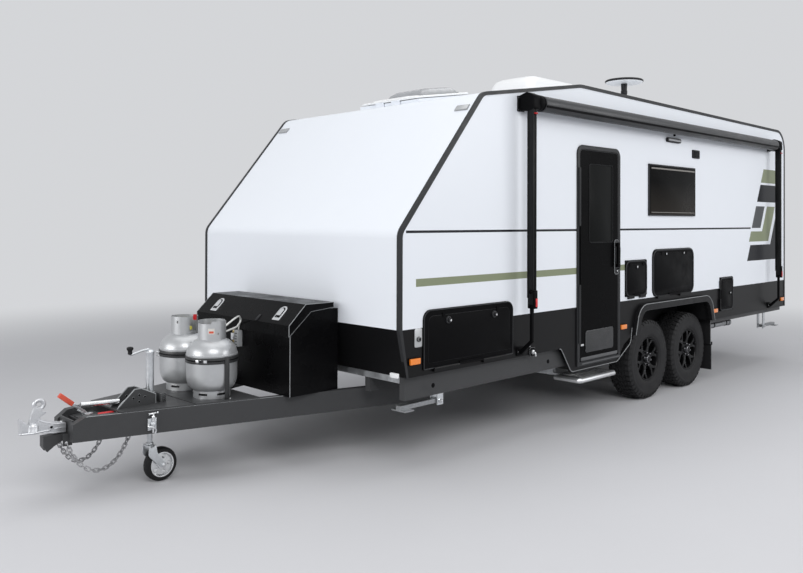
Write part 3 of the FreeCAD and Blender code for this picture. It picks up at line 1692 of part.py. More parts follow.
def corner_legs():
    """The four legs. Gives back the brackets that carry them."""
    brackets = []
    for row, x, way in (("front", leg_front_x, -1), ("rear", leg_rear_x, 1)):
        for name, side in (("near", DOOR_SIDE), ("far", ROAD_SIDE)):
            leg, pivot = corner_leg(x, way, side)
            save("leg_%s_%s" % (row, name), leg)
            report("leg_%s_%s" % (row, name), pivot)
            top = floor_z - (beam_drop if row == "front" else rear_beam_drop)
            brackets.append(leg_bracket(pivot, top))
    return brackets


def flap_bars():
    bar = box(flap_x + flap_sheet, flap_x + flap_sheet + flap_bar,
              -flap_inner_y - flap_width, -rail_y - rail_width / 2,
              flap_top - flap_bar, flap_top)
    drop = box(flap_x + flap_sheet, flap_x + flap_sheet + flap_bar,
               -rail_y - rail_width / 2 - flap_bar, -rail_y - rail_width / 2,
               flap_top, joist_bottom)
    return both_sides(bar.fuse(drop).removeSplitter())


def underfloor():
    """Water tanks between the rails, mud flaps behind the wheels and the hose tube."""
    tanks = [box(x, x + tank_length, -tank_half, tank_half, joist_bottom - tank_height,
                 joist_bottom) for x in (front_tank_x, arch_rear + rear_tank_lead)]
    flap = box(flap_x, flap_x + flap_sheet, -flap_inner_y - flap_width, -flap_inner_y,
               flap_bottom, flap_top)
    save("mud_flaps", *both_sides(flap))
    start = V(pipe_x, -pipe_y, pipe_z)
    end = start + X * pipe_length
    pipe = peg(hub_sides, pipe_r, start, end).cut(peg(hub_sides, pipe_r - pipe_sheet, start, end))
    lug = box(pipe_x + pipe_length / 2, pipe_x + pipe_length / 2 + flap_bar,
              -pipe_y - pipe_r / 2, -pipe_y + pipe_r / 2, pipe_z + pipe_r - pipe_sheet,
              floor_z)
    save("tanks_and_pipe", *(tanks + [pipe.fuse(lug).removeSplitter()]))


def lamps():
    """Side markers, tail lamps, brow lamps, awning lamp and the outlet above the galley."""
    pieces = []
    marker_z = floor_z + marker_rise
    for x in (marker_margin, arch_front - marker_lead, arch_rear + marker_trail,
              body_length - marker_tail):
        lamp = box(x, x + marker_width, -half - marker_out, -half,
                   marker_z - marker_height / 2, marker_z + marker_height / 2)
        pieces += both_sides(lamp)
    tail_y = half - tail_lamp_inset
    tail_z0 = floor_z + tail_lamp_rise
    tail = box(body_length, body_length + tail_lamp_out, -tail_y - tail_lamp_width / 2,
               -tail_y + tail_lamp_width / 2, tail_z0, tail_z0 + tail_lamp_height)
    pieces += both_sides(tail) + both_sides(brow_lamp())
    x = wheel_x + awning_lamp_lead
    z = peak_z - awning_lamp_drop
    oval = [(x, z - awning_lamp_height / 2, awning_lamp_height * round_end_share),
            (x, z + awning_lamp_height / 2, awning_lamp_height * round_end_share),
            (x + awning_lamp_length, z + awning_lamp_height / 2,
             awning_lamp_height * round_end_share),
            (x + awning_lamp_length, z - awning_lamp_height / 2,
             awning_lamp_height * round_end_share)]
    pieces.append(slab(oval, -half - awning_lamp_out, -half))
    x = wheel_x + outlet_lead
    z = peak_z - outlet_drop
    pieces.append(box(x, x + outlet_width, -half - outlet_out, -half, z, z + outlet_height))
    save("lamps", *pieces)


def brow_lamp():
    """Clearance lamp high on the front slope, square to it."""
    foot = V(0, 0, bend_z)
    rise = V(brow_x, 0, brow_z) - foot
    lift = V(-rise.z, 0, rise.x).normalize()
    y = half - brow_lamp_inset
    corner = foot + rise * brow_lamp_share + V(0, -y, 0)
    return block(corner, Y * brow_lamp_width, rise.normalize() * brow_lamp_height,
                 lift * brow_lamp_out)


def main():
    os.makedirs("parts", exist_ok=True)
    body_shell()
    mouldings()
    entry()
    locker_doors()
    window_panes()
    arches()
    wheels()
    axles()
    chassis()
    drawbar()
    coupling()
    hand_brake()
    jockey()
    gas_bottles()
    toolbox()
    roof_fittings()
    awning()
    brackets = step() + corner_legs() + spring_hangers() + flap_bars()
    save("chassis_brackets", *brackets)
    underfloor()
    lamps()
    print("ORIGIN %.6f %.6f" % (ORIGIN.x / 1000, ORIGIN.y / 1000))


main()
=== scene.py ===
import bpy
import bmesh
import math
from mathutils import Matrix, Vector


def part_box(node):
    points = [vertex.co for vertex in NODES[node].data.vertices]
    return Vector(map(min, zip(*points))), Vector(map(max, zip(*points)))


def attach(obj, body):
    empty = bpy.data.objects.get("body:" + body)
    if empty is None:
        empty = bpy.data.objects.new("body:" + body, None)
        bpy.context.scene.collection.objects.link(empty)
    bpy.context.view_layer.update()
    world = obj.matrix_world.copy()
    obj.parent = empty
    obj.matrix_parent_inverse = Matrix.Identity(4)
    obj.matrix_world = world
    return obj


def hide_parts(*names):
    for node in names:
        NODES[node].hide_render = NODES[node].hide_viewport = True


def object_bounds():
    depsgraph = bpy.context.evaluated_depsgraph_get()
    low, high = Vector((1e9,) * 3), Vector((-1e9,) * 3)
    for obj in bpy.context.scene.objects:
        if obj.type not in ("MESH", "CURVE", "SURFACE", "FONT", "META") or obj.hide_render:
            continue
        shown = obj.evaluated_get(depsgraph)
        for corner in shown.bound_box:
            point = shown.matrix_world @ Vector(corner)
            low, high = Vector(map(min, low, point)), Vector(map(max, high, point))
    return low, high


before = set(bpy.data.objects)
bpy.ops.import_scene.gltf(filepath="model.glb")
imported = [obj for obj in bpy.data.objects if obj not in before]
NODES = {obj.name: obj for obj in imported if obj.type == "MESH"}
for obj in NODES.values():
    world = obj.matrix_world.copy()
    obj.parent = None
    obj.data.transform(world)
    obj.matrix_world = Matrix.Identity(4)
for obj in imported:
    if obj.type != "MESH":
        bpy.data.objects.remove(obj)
cad_low, cad_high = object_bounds()

# Places are in metres in the part's drawing frame: x runs back from the front wall, y from
# the centre line and below zero on the near side, z up from the ground.
BODY_LENGTH = 6.835
HALF = 1.225
NEAR, FAR = -1, 1
TAU = 2 * math.pi
UP = (0, 0, 1)
rear_low, rear_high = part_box("rear_wall")
OX = rear_high.x - BODY_LENGTH
OY = (rear_low.y + rear_high.y) / 2


def P(x, y, z):
    """A place in the drawing frame, moved to the scene's frame."""
    return Vector((x + OX, y + OY, z))


# Camera, fitted to the photograph
def make_camera():
    data = bpy.data.cameras.new("camera")
    cam = bpy.data.objects.new("camera", data)
    bpy.context.scene.collection.objects.link(cam)
    yaw, pitch, roll = [math.radians(a) for a in (44.57744, -0.34914, 0.16692)]
    ahead = Vector((math.sin(yaw) * math.cos(pitch), math.cos(yaw) * math.cos(pitch),
                    -math.sin(pitch)))
    right = Vector((math.cos(yaw), -math.sin(yaw), 0))
    up = right.cross(ahead)
    rolled_right = right * math.cos(roll) + up * math.sin(roll)
    rolled_up = -right * math.sin(roll) + up * math.cos(roll)
    turn = Matrix((rolled_right, rolled_up, -ahead)).transposed()
    cam.matrix_world = Matrix.Translation(P(-3.72593, -5.0227, 1.73353)) @ turn.to_4x4()
    sensor, picture_width, focal = 36, 803, 797.44472
    picture_middle, centre_row = 286.5, 215.92737
    data.sensor_width = sensor
    data.lens = focal * sensor / picture_width
    data.shift_y = -(picture_middle - centre_row) / picture_width
    data.clip_end = 200
    bpy.context.scene.camera = cam


# Materials
def put(nt, socket, value):
    """Link or set one input of a node."""
    if isinstance(value, bpy.types.NodeSocket):
        nt.links.new(value, socket)
    elif isinstance(value, (tuple, list)) and len(value) == 3:
        socket.default_value = tuple(value) + (1,)
    else:
        socket.default_value = value


def noise(nt, co, scale):
    """Fine cloudy pattern from 0 to 1."""
    n = nt.nodes.new("ShaderNodeTexNoise")
    n.inputs["Scale"].default_value = scale
    n.inputs["Detail"].default_value = 3.0
    n.inputs["Roughness"].default_value = 0.55
    nt.links.new(co, n.inputs["Vector"])
    return n.outputs["Fac"]


def spread(nt, value, from_low, from_high, to_low=0.0, to_high=1.0):
    """A value stretched from one range to another."""
    m = nt.nodes.new("ShaderNodeMapRange")
    m.inputs["From Min"].default_value = from_low
    m.inputs["From Max"].default_value = from_high
    m.inputs["To Min"].default_value = to_low
    m.inputs["To Max"].default_value = to_high
    nt.links.new(value, m.inputs["Value"])
    return m.outputs["Result"]


def mix(nt, fac, a, b):
    """Colour between a and b; the node's colour inputs are 6 and 7 and its output 2."""
    m = nt.nodes.new("ShaderNodeMix")
    m.data_type = "RGBA"
    for index, value in ((0, fac), (6, a), (7, b)):
        put(nt, m.inputs[index], value)
    return m.outputs[2]


def calc(nt, op, *values):
    m = nt.nodes.new("ShaderNodeMath")
    m.operation = op
    for socket, value in zip(m.inputs, values):
        put(nt, socket, value)
    return m.outputs[0]


def between(nt, value, low, high):
    """1 where a value lies from low to high, else 0."""
    return calc(nt, "COMPARE", value, (low + high) / 2, (high - low) / 2)


def axes(nt, co):
    split = nt.nodes.new("ShaderNodeSeparateXYZ")
    nt.links.new(co, split.inputs[0])
    return split.outputs


M = {}


def material(key, name, color, rough=0.4, metal=0.0, grain=40, shade=0.06, rough_by=0.08,
             bump=0.02, bump_scale=300, coat=0.0, gloss=0.5, clear=0.0, stretch=(1, 1, 1),
             paint=None):
    """Surface whose colour, gloss and relief vary a little; paint(nt, co, base) recolours it."""
    mat = bpy.data.materials.new(name)
    mat.use_nodes = True
    nt = mat.node_tree
    bsdf = nt.nodes["Principled BSDF"]
    co = nt.nodes.new("ShaderNodeTexCoord").outputs["Object"]
    grid = nt.nodes.new("ShaderNodeMapping")
    grid.inputs["Scale"].default_value = stretch
    nt.links.new(co, grid.inputs["Vector"])
    place = grid.outputs["Vector"]
    dark = tuple(c * (1 - shade) for c in color)
    light = tuple(min(1, c * (1 + shade)) for c in color)
    base = mix(nt, noise(nt, place, grain), dark, light)
    if paint:
        base = paint(nt, co, base)
    nt.links.new(base, bsdf.inputs["Base Color"])
    wide = noise(nt, place, grain / 5)
    nt.links.new(spread(nt, wide, 0.3, 0.7, max(0.02, rough - rough_by), min(1, rough + rough_by)),
                 bsdf.inputs["Roughness"])
    if bump:
        b = nt.nodes.new("ShaderNodeBump")
        b.inputs["Strength"].default_value = bump
        b.inputs["Distance"].default_value = 0.002
        nt.links.new(noise(nt, place, bump_scale), b.inputs["Height"])
        nt.links.new(b.outputs["Normal"], bsdf.inputs["Normal"])
    for socket, value in (("Metallic", metal), ("Coat Weight", coat), ("Coat Roughness", 0.08),
                          ("Specular IOR Level", gloss), ("Transmission Weight", clear)):
        bsdf.inputs[socket].default_value = value
    M[key] = mat
    return mat


WHITE = (0.8, 0.83, 0.88)
BLACK = (0.005, 0.005, 0.0055)
SAGE = (0.235, 0.262, 0.17)
INK = (0.012, 0.013, 0.016)
SLATE = (0.085, 0.09, 0.095)


def livery(sides):
    """Black lower band, pinstripe, sage stripe, slanted blocks, black collars."""
    def paint(nt, co, base):
        split = axes(nt, co)
        x = calc(nt, "SUBTRACT", split[0], OX)
        z = split[2]

        def area(x0, x1, z0, z1, lean=0.0):
            along = calc(nt, "SUBTRACT", x, calc(nt, "MULTIPLY", z, lean))
            return calc(nt, "MULTIPLY", between(nt, along, x0, x1), between(nt, z, z0, z1))
        if sides:
            # Level stripes as start, end, foot and top
            for place, tone in (((0.059, 5.78, 1.65, 1.668), INK),
                                ((0.156, 2.2, 1.283, 1.337), SAGE),
                                ((2.72, 2.91, 1.283, 1.337), SAGE)):
                base = mix(nt, area(*place), base, tone)
            # Slanted blocks as foot, top, and start and end behind the first edge
            lean, start, end = 0.5, 4.98, 6.62
            for z0, z1, a, b, tone in ((2.205, 2.37, 0.0, 0.9, SAGE), (1.972, 2.18, 0.0, 0.9, INK),
                                       (1.66, 1.92, 0.0, 0.26, SLATE),
                                       (1.5, 1.92, 0.33, 0.58, SAGE),
                                       (1.5, 1.62, 0.0, 0.4, SAGE),
                                       (1.275, 1.46, 0.06, 1.2, INK),
                                       (1.4, 1.92, 0.66, 1.2, INK)):
                slanted = area(start + a, start + b, z0, z1, lean)
                inside = calc(nt, "LESS_THAN", x, end)
                base = mix(nt, calc(nt, "MULTIPLY", slanted, inside), base, tone)
            out = calc(nt, "ABSOLUTE", calc(nt, "SUBTRACT", split[1], OY))
            base = mix(nt, calc(nt, "GREATER_THAN", out, HALF + 0.004), base, BLACK)
        return mix(nt, calc(nt, "LESS_THAN", z, 1.0), base, BLACK)
    return paint


def smoked(low, high, top, bottom):
    """Glass that runs from one tone at its top edge to another at its foot."""
    def paint(nt, co, base):
        return mix(nt, spread(nt, axes(nt, co)[2], low, high), bottom, top)
    return paint


def make_materials():
    wall = dict(rough=0.34, grain=3, shade=0.008, rough_by=0.02, bump=0.0, gloss=0.15)
    material("side", "side_panel", WHITE, paint=livery(True), **wall)
    material("end", "end_panel", WHITE, paint=livery(False), **wall)
    material("roof", "roof_panel", WHITE, grain=3, shade=0.02, bump=0.01, bump_scale=60, gloss=0.25)
    material("gloss_white", "gloss_white", (0.84, 0.85, 0.86), 0.3, grain=10, shade=0.02,
             rough_by=0.04, bump=0.0)
    material("plastic", "white_plastic", (0.8, 0.81, 0.82), 0.38, grain=30, shade=0.03, bump=0.03)
    material("hose", "white_hose", (0.72, 0.72, 0.7), grain=60, shade=0.05)
    material("label", "label_pale", (0.62, 0.6, 0.56), 0.5, grain=90, shade=0.08)
    # Bare metals
    material("galv", "galvanised", (0.6, 0.62, 0.64), 0.38, 0.9, grain=55, shade=0.16,
             rough_by=0.12, bump=0.04, bump_scale=120)
    material("zinc", "bright_zinc", (0.74, 0.75, 0.76), 0.26, 0.95, shade=0.1, rough_by=0.1,
             bump=0.03)
    material("cast", "cast_zinc", (0.58, 0.59, 0.61), metal=0.75, grain=90, shade=0.14, bump=0.12,
             bump_scale=260)
    material("chrome", "chrome", (0.8, 0.81, 0.82), 0.16, 1.0, grain=30, shade=0.04,
             rough_by=0.05, bump=0.0)
    material("nut", "dark_chrome", (0.22, 0.22, 0.23), 0.22, 1.0, grain=60, shade=0.15, rough_by=0.1)
    material("chain", "chain_zinc", (0.36, 0.36, 0.37), 0.42, 0.85, grain=70, shade=0.2,
             rough_by=0.12, bump=0.06)
    material("leg", "leg_steel", (0.3, 0.31, 0.32), metal=0.8, grain=50, shade=0.16, rough_by=0.1)
    material("alu", "aluminium", (0.7, 0.71, 0.72), 0.34, 0.9, grain=30, shade=0.08,
             stretch=(1, 12, 1), bump=0.05)
    material("brass", "brass", (0.62, 0.48, 0.22), 0.3, 0.9, grain=60, shade=0.1)
    material("pale", "latch_plate", (0.46, 0.47, 0.48), metal=0.5, grain=60, shade=0.1)
    material("kick", "kick_strip", (0.115, 0.118, 0.122), 0.34, 0.6, grain=60, shade=0.1,
             stretch=(1, 1, 20))
    material("bottle", "bottle_paint", (0.47, 0.48, 0.49), 0.36, 0.55, grain=25, shade=0.05,
             coat=0.1, bump=0.0)
    # Dark paint, plastic and rubber
    material("inner", "floor_underside", (0.02, 0.02, 0.021), 0.6, grain=12, stretch=(1, 8, 1),
             gloss=0.2)
    material("mould", "moulding", (0.026, 0.027, 0.029), grain=60, bump=0.03, gloss=0.2)
    material("chassis", "chassis_paint", (0.052, 0.053, 0.055), 0.42, grain=25, bump=0.06,
             bump_scale=500, gloss=0.22)
    material("tyre", "tyre_rubber", (0.022, 0.022, 0.023), 0.62, grain=45, shade=0.18, bump=0.1,
             bump_scale=350, gloss=0.15)
    material("rubber", "rubber", (0.014, 0.014, 0.015), 0.55, grain=60, shade=0.12, bump=0.06,
             gloss=0.15)
    material("rim", "rim_black", (0.006, 0.006, 0.0065), 0.28, grain=30, shade=0.1, coat=0.06,
             gloss=0.15)
    material("black", "gloss_black", (0.003, 0.003, 0.0033), 0.26, grain=20, shade=0.1, gloss=0.025)
    material("satin", "satin_black", (0.005, 0.005, 0.0055), shade=0.1, bump=0.05, gloss=0.025)
    material("dark", "dark_plastic", (0.018, 0.018, 0.02), 0.45, grain=80, shade=0.1, bump=0.12,
             bump_scale=700, gloss=0.15)
    material("flare", "flare_plastic", (0.012, 0.012, 0.013), grain=60, shade=0.12, bump=0.1,
             bump_scale=600, gloss=0.15)
    material("box", "toolbox_black", (0.004, 0.004, 0.0044), 0.28, grain=30, shade=0.12,
             bump=0.05, bump_scale=400, gloss=0.06)
    material("arm", "arm_black", (0.011, 0.0115, 0.012), grain=70, shade=0.1, bump=0.05, gloss=0.12)
    material("strap", "strap_black", (0.022, 0.023, 0.024), 0.45, grain=70, bump=0.08)
    material("vent", "vent_plastic", (0.04, 0.041, 0.043), 0.5, grain=70, shade=0.1, bump=0.08,
             gloss=0.3)
    material("roller", "awning_vinyl", (0.046, 0.047, 0.05), 0.42, grain=30, shade=0.1,
             stretch=(1, 6, 6), bump=0.06, bump_scale=200, gloss=0.3)
    material("tank", "tank_plastic", (0.1, 0.1, 0.105), 0.5, grain=20, shade=0.1)
    # Pale grey for the thin tubes along edges, which are painted edge highlights
    material("edge", "painted_edge_highlight", (0.3, 0.31, 0.32), 0.35, grain=60, shade=0.08)
    material("grey", "grey_plastic", (0.36, 0.37, 0.38), 0.45, grain=70, bump=0.06)
    material("blind", "blind_edge", (0.2, 0.19, 0.175), 0.5, grain=60)
    # Glass and lenses
    material("glass", "tinted_glass", (0.009, 0.0095, 0.0095), 0.3, grain=6, shade=0.2,
             rough_by=0.03, bump=0.0, gloss=0.02)
    material("window", "window_tint", (0.02, 0.02, 0.02), 0.3, grain=6, bump=0.0, gloss=0.02,
             paint=smoked(1.66, 2.12, (0.0015, 0.0015, 0.0015), (0.036, 0.032, 0.028)))
    material("smoke", "smoke_dome", (0.4, 0.41, 0.43), 0.16, grain=14, shade=0.2, bump=0.05,
             bump_scale=14, coat=0.4, clear=0.25)
    material("amber", "amber_lens", (0.85, 0.22, 0.01), 0.2, grain=90, shade=0.12, coat=0.6)
    material("red", "red_lens", (0.6, 0.015, 0.012), 0.2, grain=90, shade=0.12, coat=0.6)
    # Coloured fittings
    material("grip", "orange_grip", (0.62, 0.085, 0.045), grain=50, shade=0.12, bump=0.08)
    material("yellow", "yellow_knob", (0.72, 0.66, 0.1), grain=60, shade=0.1)
    material("tag", "red_tag", (0.62, 0.02, 0.025), 0.45, grain=60, shade=0.1)


# Node names, or their first letters, by material; the rest are galvanised
LOOK_NODES = {
    "plastic": ("air_conditioner", "antenna", "lamps"), "roller": ("awning",),
    "chassis": ("axles", "chassis_rails", "drawbar_plates", "drawbar_rails", "side_beams"),
    "dark": ("bottle_holder",), "cast": ("coupling",), "black": ("entry_door",),
    "satin": ("boot_door", "rear_locker_door", "small_locker_door", "table_locker_door"),
    "mould": ("corner_mouldings", "door_and_window_frames"), "side": ("far_wall", "near_wall"),
    "glass": ("entry_glass", "window_panes"), "end": ("front_wall", "rear_wall"),
    "roof": ("roof",), "inner": ("floor",), "bottle": ("gas_bottles",), "smoke": ("hatch_lid",),
    "zinc": ("jockey_rim",), "rubber": ("jockey_tyre", "mud_flaps"), "chain": ("safety_chains",),
    "alu": ("step",), "tank": ("tanks_and_pipe",), "box": ("toolbox",), "tyre": ("tyre",),
    "flare": ("wheel_arches",), "rim": ("rim",), "leg": ("leg",),
}


def dress_nodes():
    for node, obj in NODES.items():
        look = "galv"
        for key, starts in LOOK_NODES.items():
            if node.startswith(starts):
                look = key
        obj.data.materials.clear()
        obj.data.materials.append(M[look])


# Floor, light and background
BACKGROUND = (0.66, 0.67, 0.69, 1)


def seen_by(nt):
    """1 for rays from the camera, from gloss and through glass, 0 for light on the object."""
    path = nt.nodes.new("ShaderNodeLightPath")
    total = calc(nt, "ADD", path.outputs["Is Camera Ray"], path.outputs["Is Glossy Ray"])
    return calc(nt, "MINIMUM", calc(nt, "ADD", total, path.outputs["Is Transmission Ray"]), 1.0)


def blend(nt, fac, first, second, end):
    """One shader or the other, as fac says, into the end socket."""
    both = nt.nodes.new("ShaderNodeMixShader")
    for socket, value in zip(both.inputs, (fac, first, second)):
        nt.links.new(value, socket)
    nt.links.new(both.outputs[0], end)


def make_stage():
    """Floor that fades into the background colour with the distance."""
    mesh = bpy.data.meshes.new("floor")
    centre = (cad_low + cad_high) / 2
    steps, size, near_edge, far_edge = 24, 60.0, 4.8, 12.0
    verts = [(centre.x + (i / steps - 0.5) * size, centre.y + (j / steps - 0.5) * size, 0)
             for i in range(steps + 1) for j in range(steps + 1)]
    faces = [(i * (steps + 1) + j, (i + 1) * (steps + 1) + j, (i + 1) * (steps + 1) + j + 1,
              i * (steps + 1) + j + 1) for i in range(steps) for j in range(steps)]
    mesh.from_pydata(verts, [], faces)
    floor = bpy.data.objects.new("floor", mesh)
    bpy.context.scene.collection.objects.link(floor)
    mat = material("floor", "studio_floor", (0.62, 0.62, 0.64), 0.75, grain=2, shade=0.01, bump=0.0)
    floor.data.materials.append(mat)
    nt = mat.node_tree
    away = nt.nodes.new("ShaderNodeVectorMath")
    away.operation = "DISTANCE"
    nt.links.new(nt.nodes.new("ShaderNodeTexCoord").outputs["Object"], away.inputs[0])
    away.inputs[1].default_value = (centre.x, centre.y, 0)
    fade = spread(nt, away.outputs["Value"], near_edge, far_edge)
    fade.node.interpolation_type = "SMOOTHSTEP"
    glow = nt.nodes.new("ShaderNodeEmission")
    glow.inputs["Color"].default_value = BACKGROUND
    blend(nt, calc(nt, "MULTIPLY", fade, seen_by(nt)), nt.nodes["Principled BSDF"].outputs[0],
          glow.outputs[0], nt.nodes["Material Output"].inputs["Surface"])


def area_light(name, at, to, size, power):
    data = bpy.data.lights.new(name, "AREA")
    data.shape = "RECTANGLE"
    data.size, data.size_y = size
    data.energy = power
    lamp = bpy.data.objects.new(name, data)
    bpy.context.scene.collection.objects.link(lamp)
    lamp.location = P(*at)
    lamp.rotation_mode = "QUATERNION"
    lamp.rotation_quaternion = (P(*to) - P(*at)).to_track_quat("-Z", "Y")


def make_light():
    world = bpy.data.worlds.new("studio")
    bpy.context.scene.world = world
    world.use_nodes = True
    nt = world.node_tree
    nt.nodes.clear()
    out = nt.nodes.new("ShaderNodeOutputWorld")
    skies = []
    for color, strength in (((0.93, 0.96, 1.0, 1), 0.3), (BACKGROUND, 1.0)):
        sky = nt.nodes.new("ShaderNodeBackground")
        sky.inputs["Color"].default_value = color
        sky.inputs["Strength"].default_value = strength
        skies.append(sky.outputs[0])
    blend(nt, seen_by(nt), *skies, out.inputs["Surface"])
    for row in (("key", (-3.5, -7.5, 6.5), (2.5, -1.0, 1.2), (6, 4), 400),
                ("top", (2.6, 0, 8.5), (2.6, 0, 0), (12, 7), 330),
                ("front", (-8.5, 1.5, 2.8), (0, 0, 1.2), (6, 4), 320),
                ("side", (6.5, -8.0, 4.0), (4.5, -1.0, 1.2), (7, 3), 265)):
        area_light(*row)


make_camera()
make_materials()
dress_nodes()
make_stage()
make_light()
scene = bpy.context.scene
scene.view_settings.view_transform = "Standard"


# Mesh builder
# Edges sharper than these angles are bevelled, and shaded as edges
BEVEL_FROM = math.radians(32)
SHARP_FROM = math.radians(38)


class Shape:
    """Faces collected in the drawing frame, each with the name of its material."""

    def __init__(self):
        self.verts = []
        self.faces = []
        self.slots = []
        self.looks = []

    def add(self, verts, faces, look):
        start = len(self.verts)
        self.verts += [P(*v) for v in verts]
        if look not in self.looks:
            self.looks.append(look)
        self.faces += [tuple(start + i for i in f) for f in faces]
        self.slots += [self.looks.index(look)] * len(faces)
        return self

    def loft(self, rings, look, loop=False, keep=None):
        """Closed rings joined in turn, ends shut, or the last joined to the first by loop.

        With keep(k, i), only the faces that it says are made, and no ends.
        """
        count, total = len(rings[0]), len(rings)
        faces = []
        for k in range(total if loop else total - 1):
            low, high = k * count, (k + 1) % total * count
            for i in range(count):
                if keep and not keep(k, i):
                    continue
                j = (i + 1) % count
                faces.append((low + i, low + j, high + j, high + i))
        if not loop and not keep:
            faces += [tuple(range(count))[::-1], tuple(range((total - 1) * count, total * count))]
        return self.add([v for ring in rings for v in ring], faces, look)

    def prism(self, points, axis, a, b, look):
        """An outline in the plane across an axis, drawn out along it from a to b."""
        place = {"x": lambda p, t: (t, p[0], p[1]), "y": lambda p, t: (p[0], t, p[1]),
                 "z": lambda p, t: (p[0], p[1], t)}[axis]
        return self.loft([[place(p, t) for p in points] for t in (a, b)], look)

    def slab(self, corner, a, b, c, look):
        """A block from one corner along three edges, which may lean."""
        corner, a, b, c = [Vector(v) for v in (corner, a, b, c)]
        verts = [corner + a * i + b * j + c * k for i in (0, 1) for j in (0, 1) for k in (0, 1)]
        faces = [(0, 1, 3, 2), (4, 6, 7, 5), (0, 4, 5, 1), (2, 3, 7, 6), (0, 2, 6, 4), (1, 5, 7, 3)]
        return self.add(verts, faces, look)

    def box(self, x0, x1, y0, y1, z0, z1, look):
        return self.slab((x0, y0, z0), (x1 - x0, 0, 0), (0, y1 - y0, 0), (0, 0, z1 - z0), look)

    def turn(self, centre, axis, rows, count, look, loop=False):
        """Rows of (along, radius) turned about an axis."""
        centre = Vector(centre)
        axis = Vector(axis).normalized()
        side = axis.orthogonal().normalized()
        other = axis.cross(side)
        round_it = [side * math.cos(t) + other * math.sin(t) for t in turns(count)]
        return self.loft([[centre + axis * along + way * radius for way in round_it]
                          for along, radius in rows], look, loop)

    def rod(self, a, b, radius, look, count=16):
        a, b = Vector(a), Vector(b)
        return self.turn(a, b - a, [(0, radius), ((b - a).length, radius)], count, look)

    def tube(self, points, radius, look, count=10, closed=False, flat=1.0):
        """A bar swept through points, round or, with flat, thicker or thinner one way."""
        points = [Vector(p) for p in points]
        n = len(points)
        rings = []
        up = None
        for i, point in enumerate(points):
            before = points[i - 1] if i or closed else point
            after = points[(i + 1) % n] if i < n - 1 or closed else point
            ahead = (after - before).normalized()
            side = ahead.orthogonal().normalized() if up is None else ahead.cross(up).normalized()
            up = side.cross(ahead).normalized()
            rings.append([point + side * math.cos(t) * radius + up * math.sin(t) * radius * flat
                          for t in turns(count)])
        return self.loft(rings, look, closed)

    def make(self, name, body="caravan", replaces=(), bevel=0.0, segments=2, thick=0.0):
        """The finished mesh object, riding on its body."""
        mesh = bpy.data.meshes.new(name)
        mesh.from_pydata([tuple(v) for v in self.verts], [], self.faces)
        for look in self.looks:
            mesh.materials.append(M[look])
        for poly, slot in zip(mesh.polygons, self.slots):
            poly.material_index = slot
        bm = bmesh.new()
        bm.from_mesh(mesh)
        if thick:
            bmesh.ops.remove_doubles(bm, verts=bm.verts, dist=1e-6)
        bmesh.ops.recalc_face_normals(bm, faces=bm.faces)
        if thick:
            bmesh.ops.solidify(bm, geom=bm.faces[:], thickness=thick)
        if bevel:
            edges = [e for e in bm.edges
                     if len(e.link_faces) == 2 and e.calc_face_angle(0) > BEVEL_FROM]
            bmesh.ops.bevel(bm, geom=edges, offset=bevel, segments=segments, profile=0.5,
                            affect="EDGES", clamp_overlap=True)
        bm.to_mesh(mesh)
        bm.free()
        mesh.shade_smooth()
        mesh.set_sharp_from_angle(angle=SHARP_FROM)
        obj = bpy.data.objects.new(name, mesh)
        bpy.context.scene.collection.objects.link(obj)
        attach(obj, body)
        if replaces:
            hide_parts(*replaces)


def turns(count):
    """Angles all round, evenly spaced."""
    return [TAU * k / count for k in range(count)]


def rounded(corners, steps=6):
    """Outline through corners (a, b, radius), each rounded off by an arc."""
    points = []
    n = len(corners)
    for i, (a, b, radius) in enumerate(corners):
        here = Vector((a, b))
        before = (Vector(corners[i - 1][:2]) - here).normalized()
        after = (Vector(corners[(i + 1) % n][:2]) - here).normalized()
        half = before.angle(after) / 2
        if radius <= 0 or half > math.radians(89):
            points.append(here)
            continue
        reach = radius / math.tan(half)
        centre = here + (before + after).normalized() * (radius / math.sin(half))
        start = here + before * reach - centre
        sweep = math.pi - 2 * half
        way = 1 if before.cross(after) < 0 else -1
        for k in range(steps + 1):
            turn = way * sweep * k / steps
            points.append(centre + Vector((start.x * math.cos(turn) - start.y * math.sin(turn),
                                           start.x * math.sin(turn) + start.y * math.cos(turn))))
    return [tuple(p) for p in points]


def pane(x0, x1, z0, z1, radius, steps=6, top=None):
    """Rectangle with round corners, as an outline; top is the radius at z1 where it differs."""
    top = top or radius
    return rounded([(x0, z0, radius), (x0, z1, top), (x1, z1, top), (x1, z0, radius)], steps)


def smooth(points, steps=6):
    """Curve through points, as a chain of short runs."""
    points = [Vector(p) for p in points]
    ends = [points[0] * 2 - points[1]] + points + [points[-1] * 2 - points[-2]]
    out = []
    for i in range(len(points) - 1):
        a, b, c, d = ends[i:i + 4]
        for k in range(steps):
            t = k / steps
            out.append(0.5 * (2 * b + (c - a) * t + (2 * a - 5 * b + 4 * c - d) * t * t
                              + (3 * b - 3 * c + d - a) * t ** 3))
    return out + [points[-1]]


def middle(node):
    """Middle of a node's box, in the drawing frame."""
    low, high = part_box(node)
    return (low + high) / 2 - Vector((OX, OY, 0))


def wall(side, x, z, out=0.0):
    """A place on a side wall, some way out from its face."""
    return Vector((x, side * (HALF + out), z))


# Wheels
TYRE_R = 0.388
PITCHES = 44
SPOKES = 6


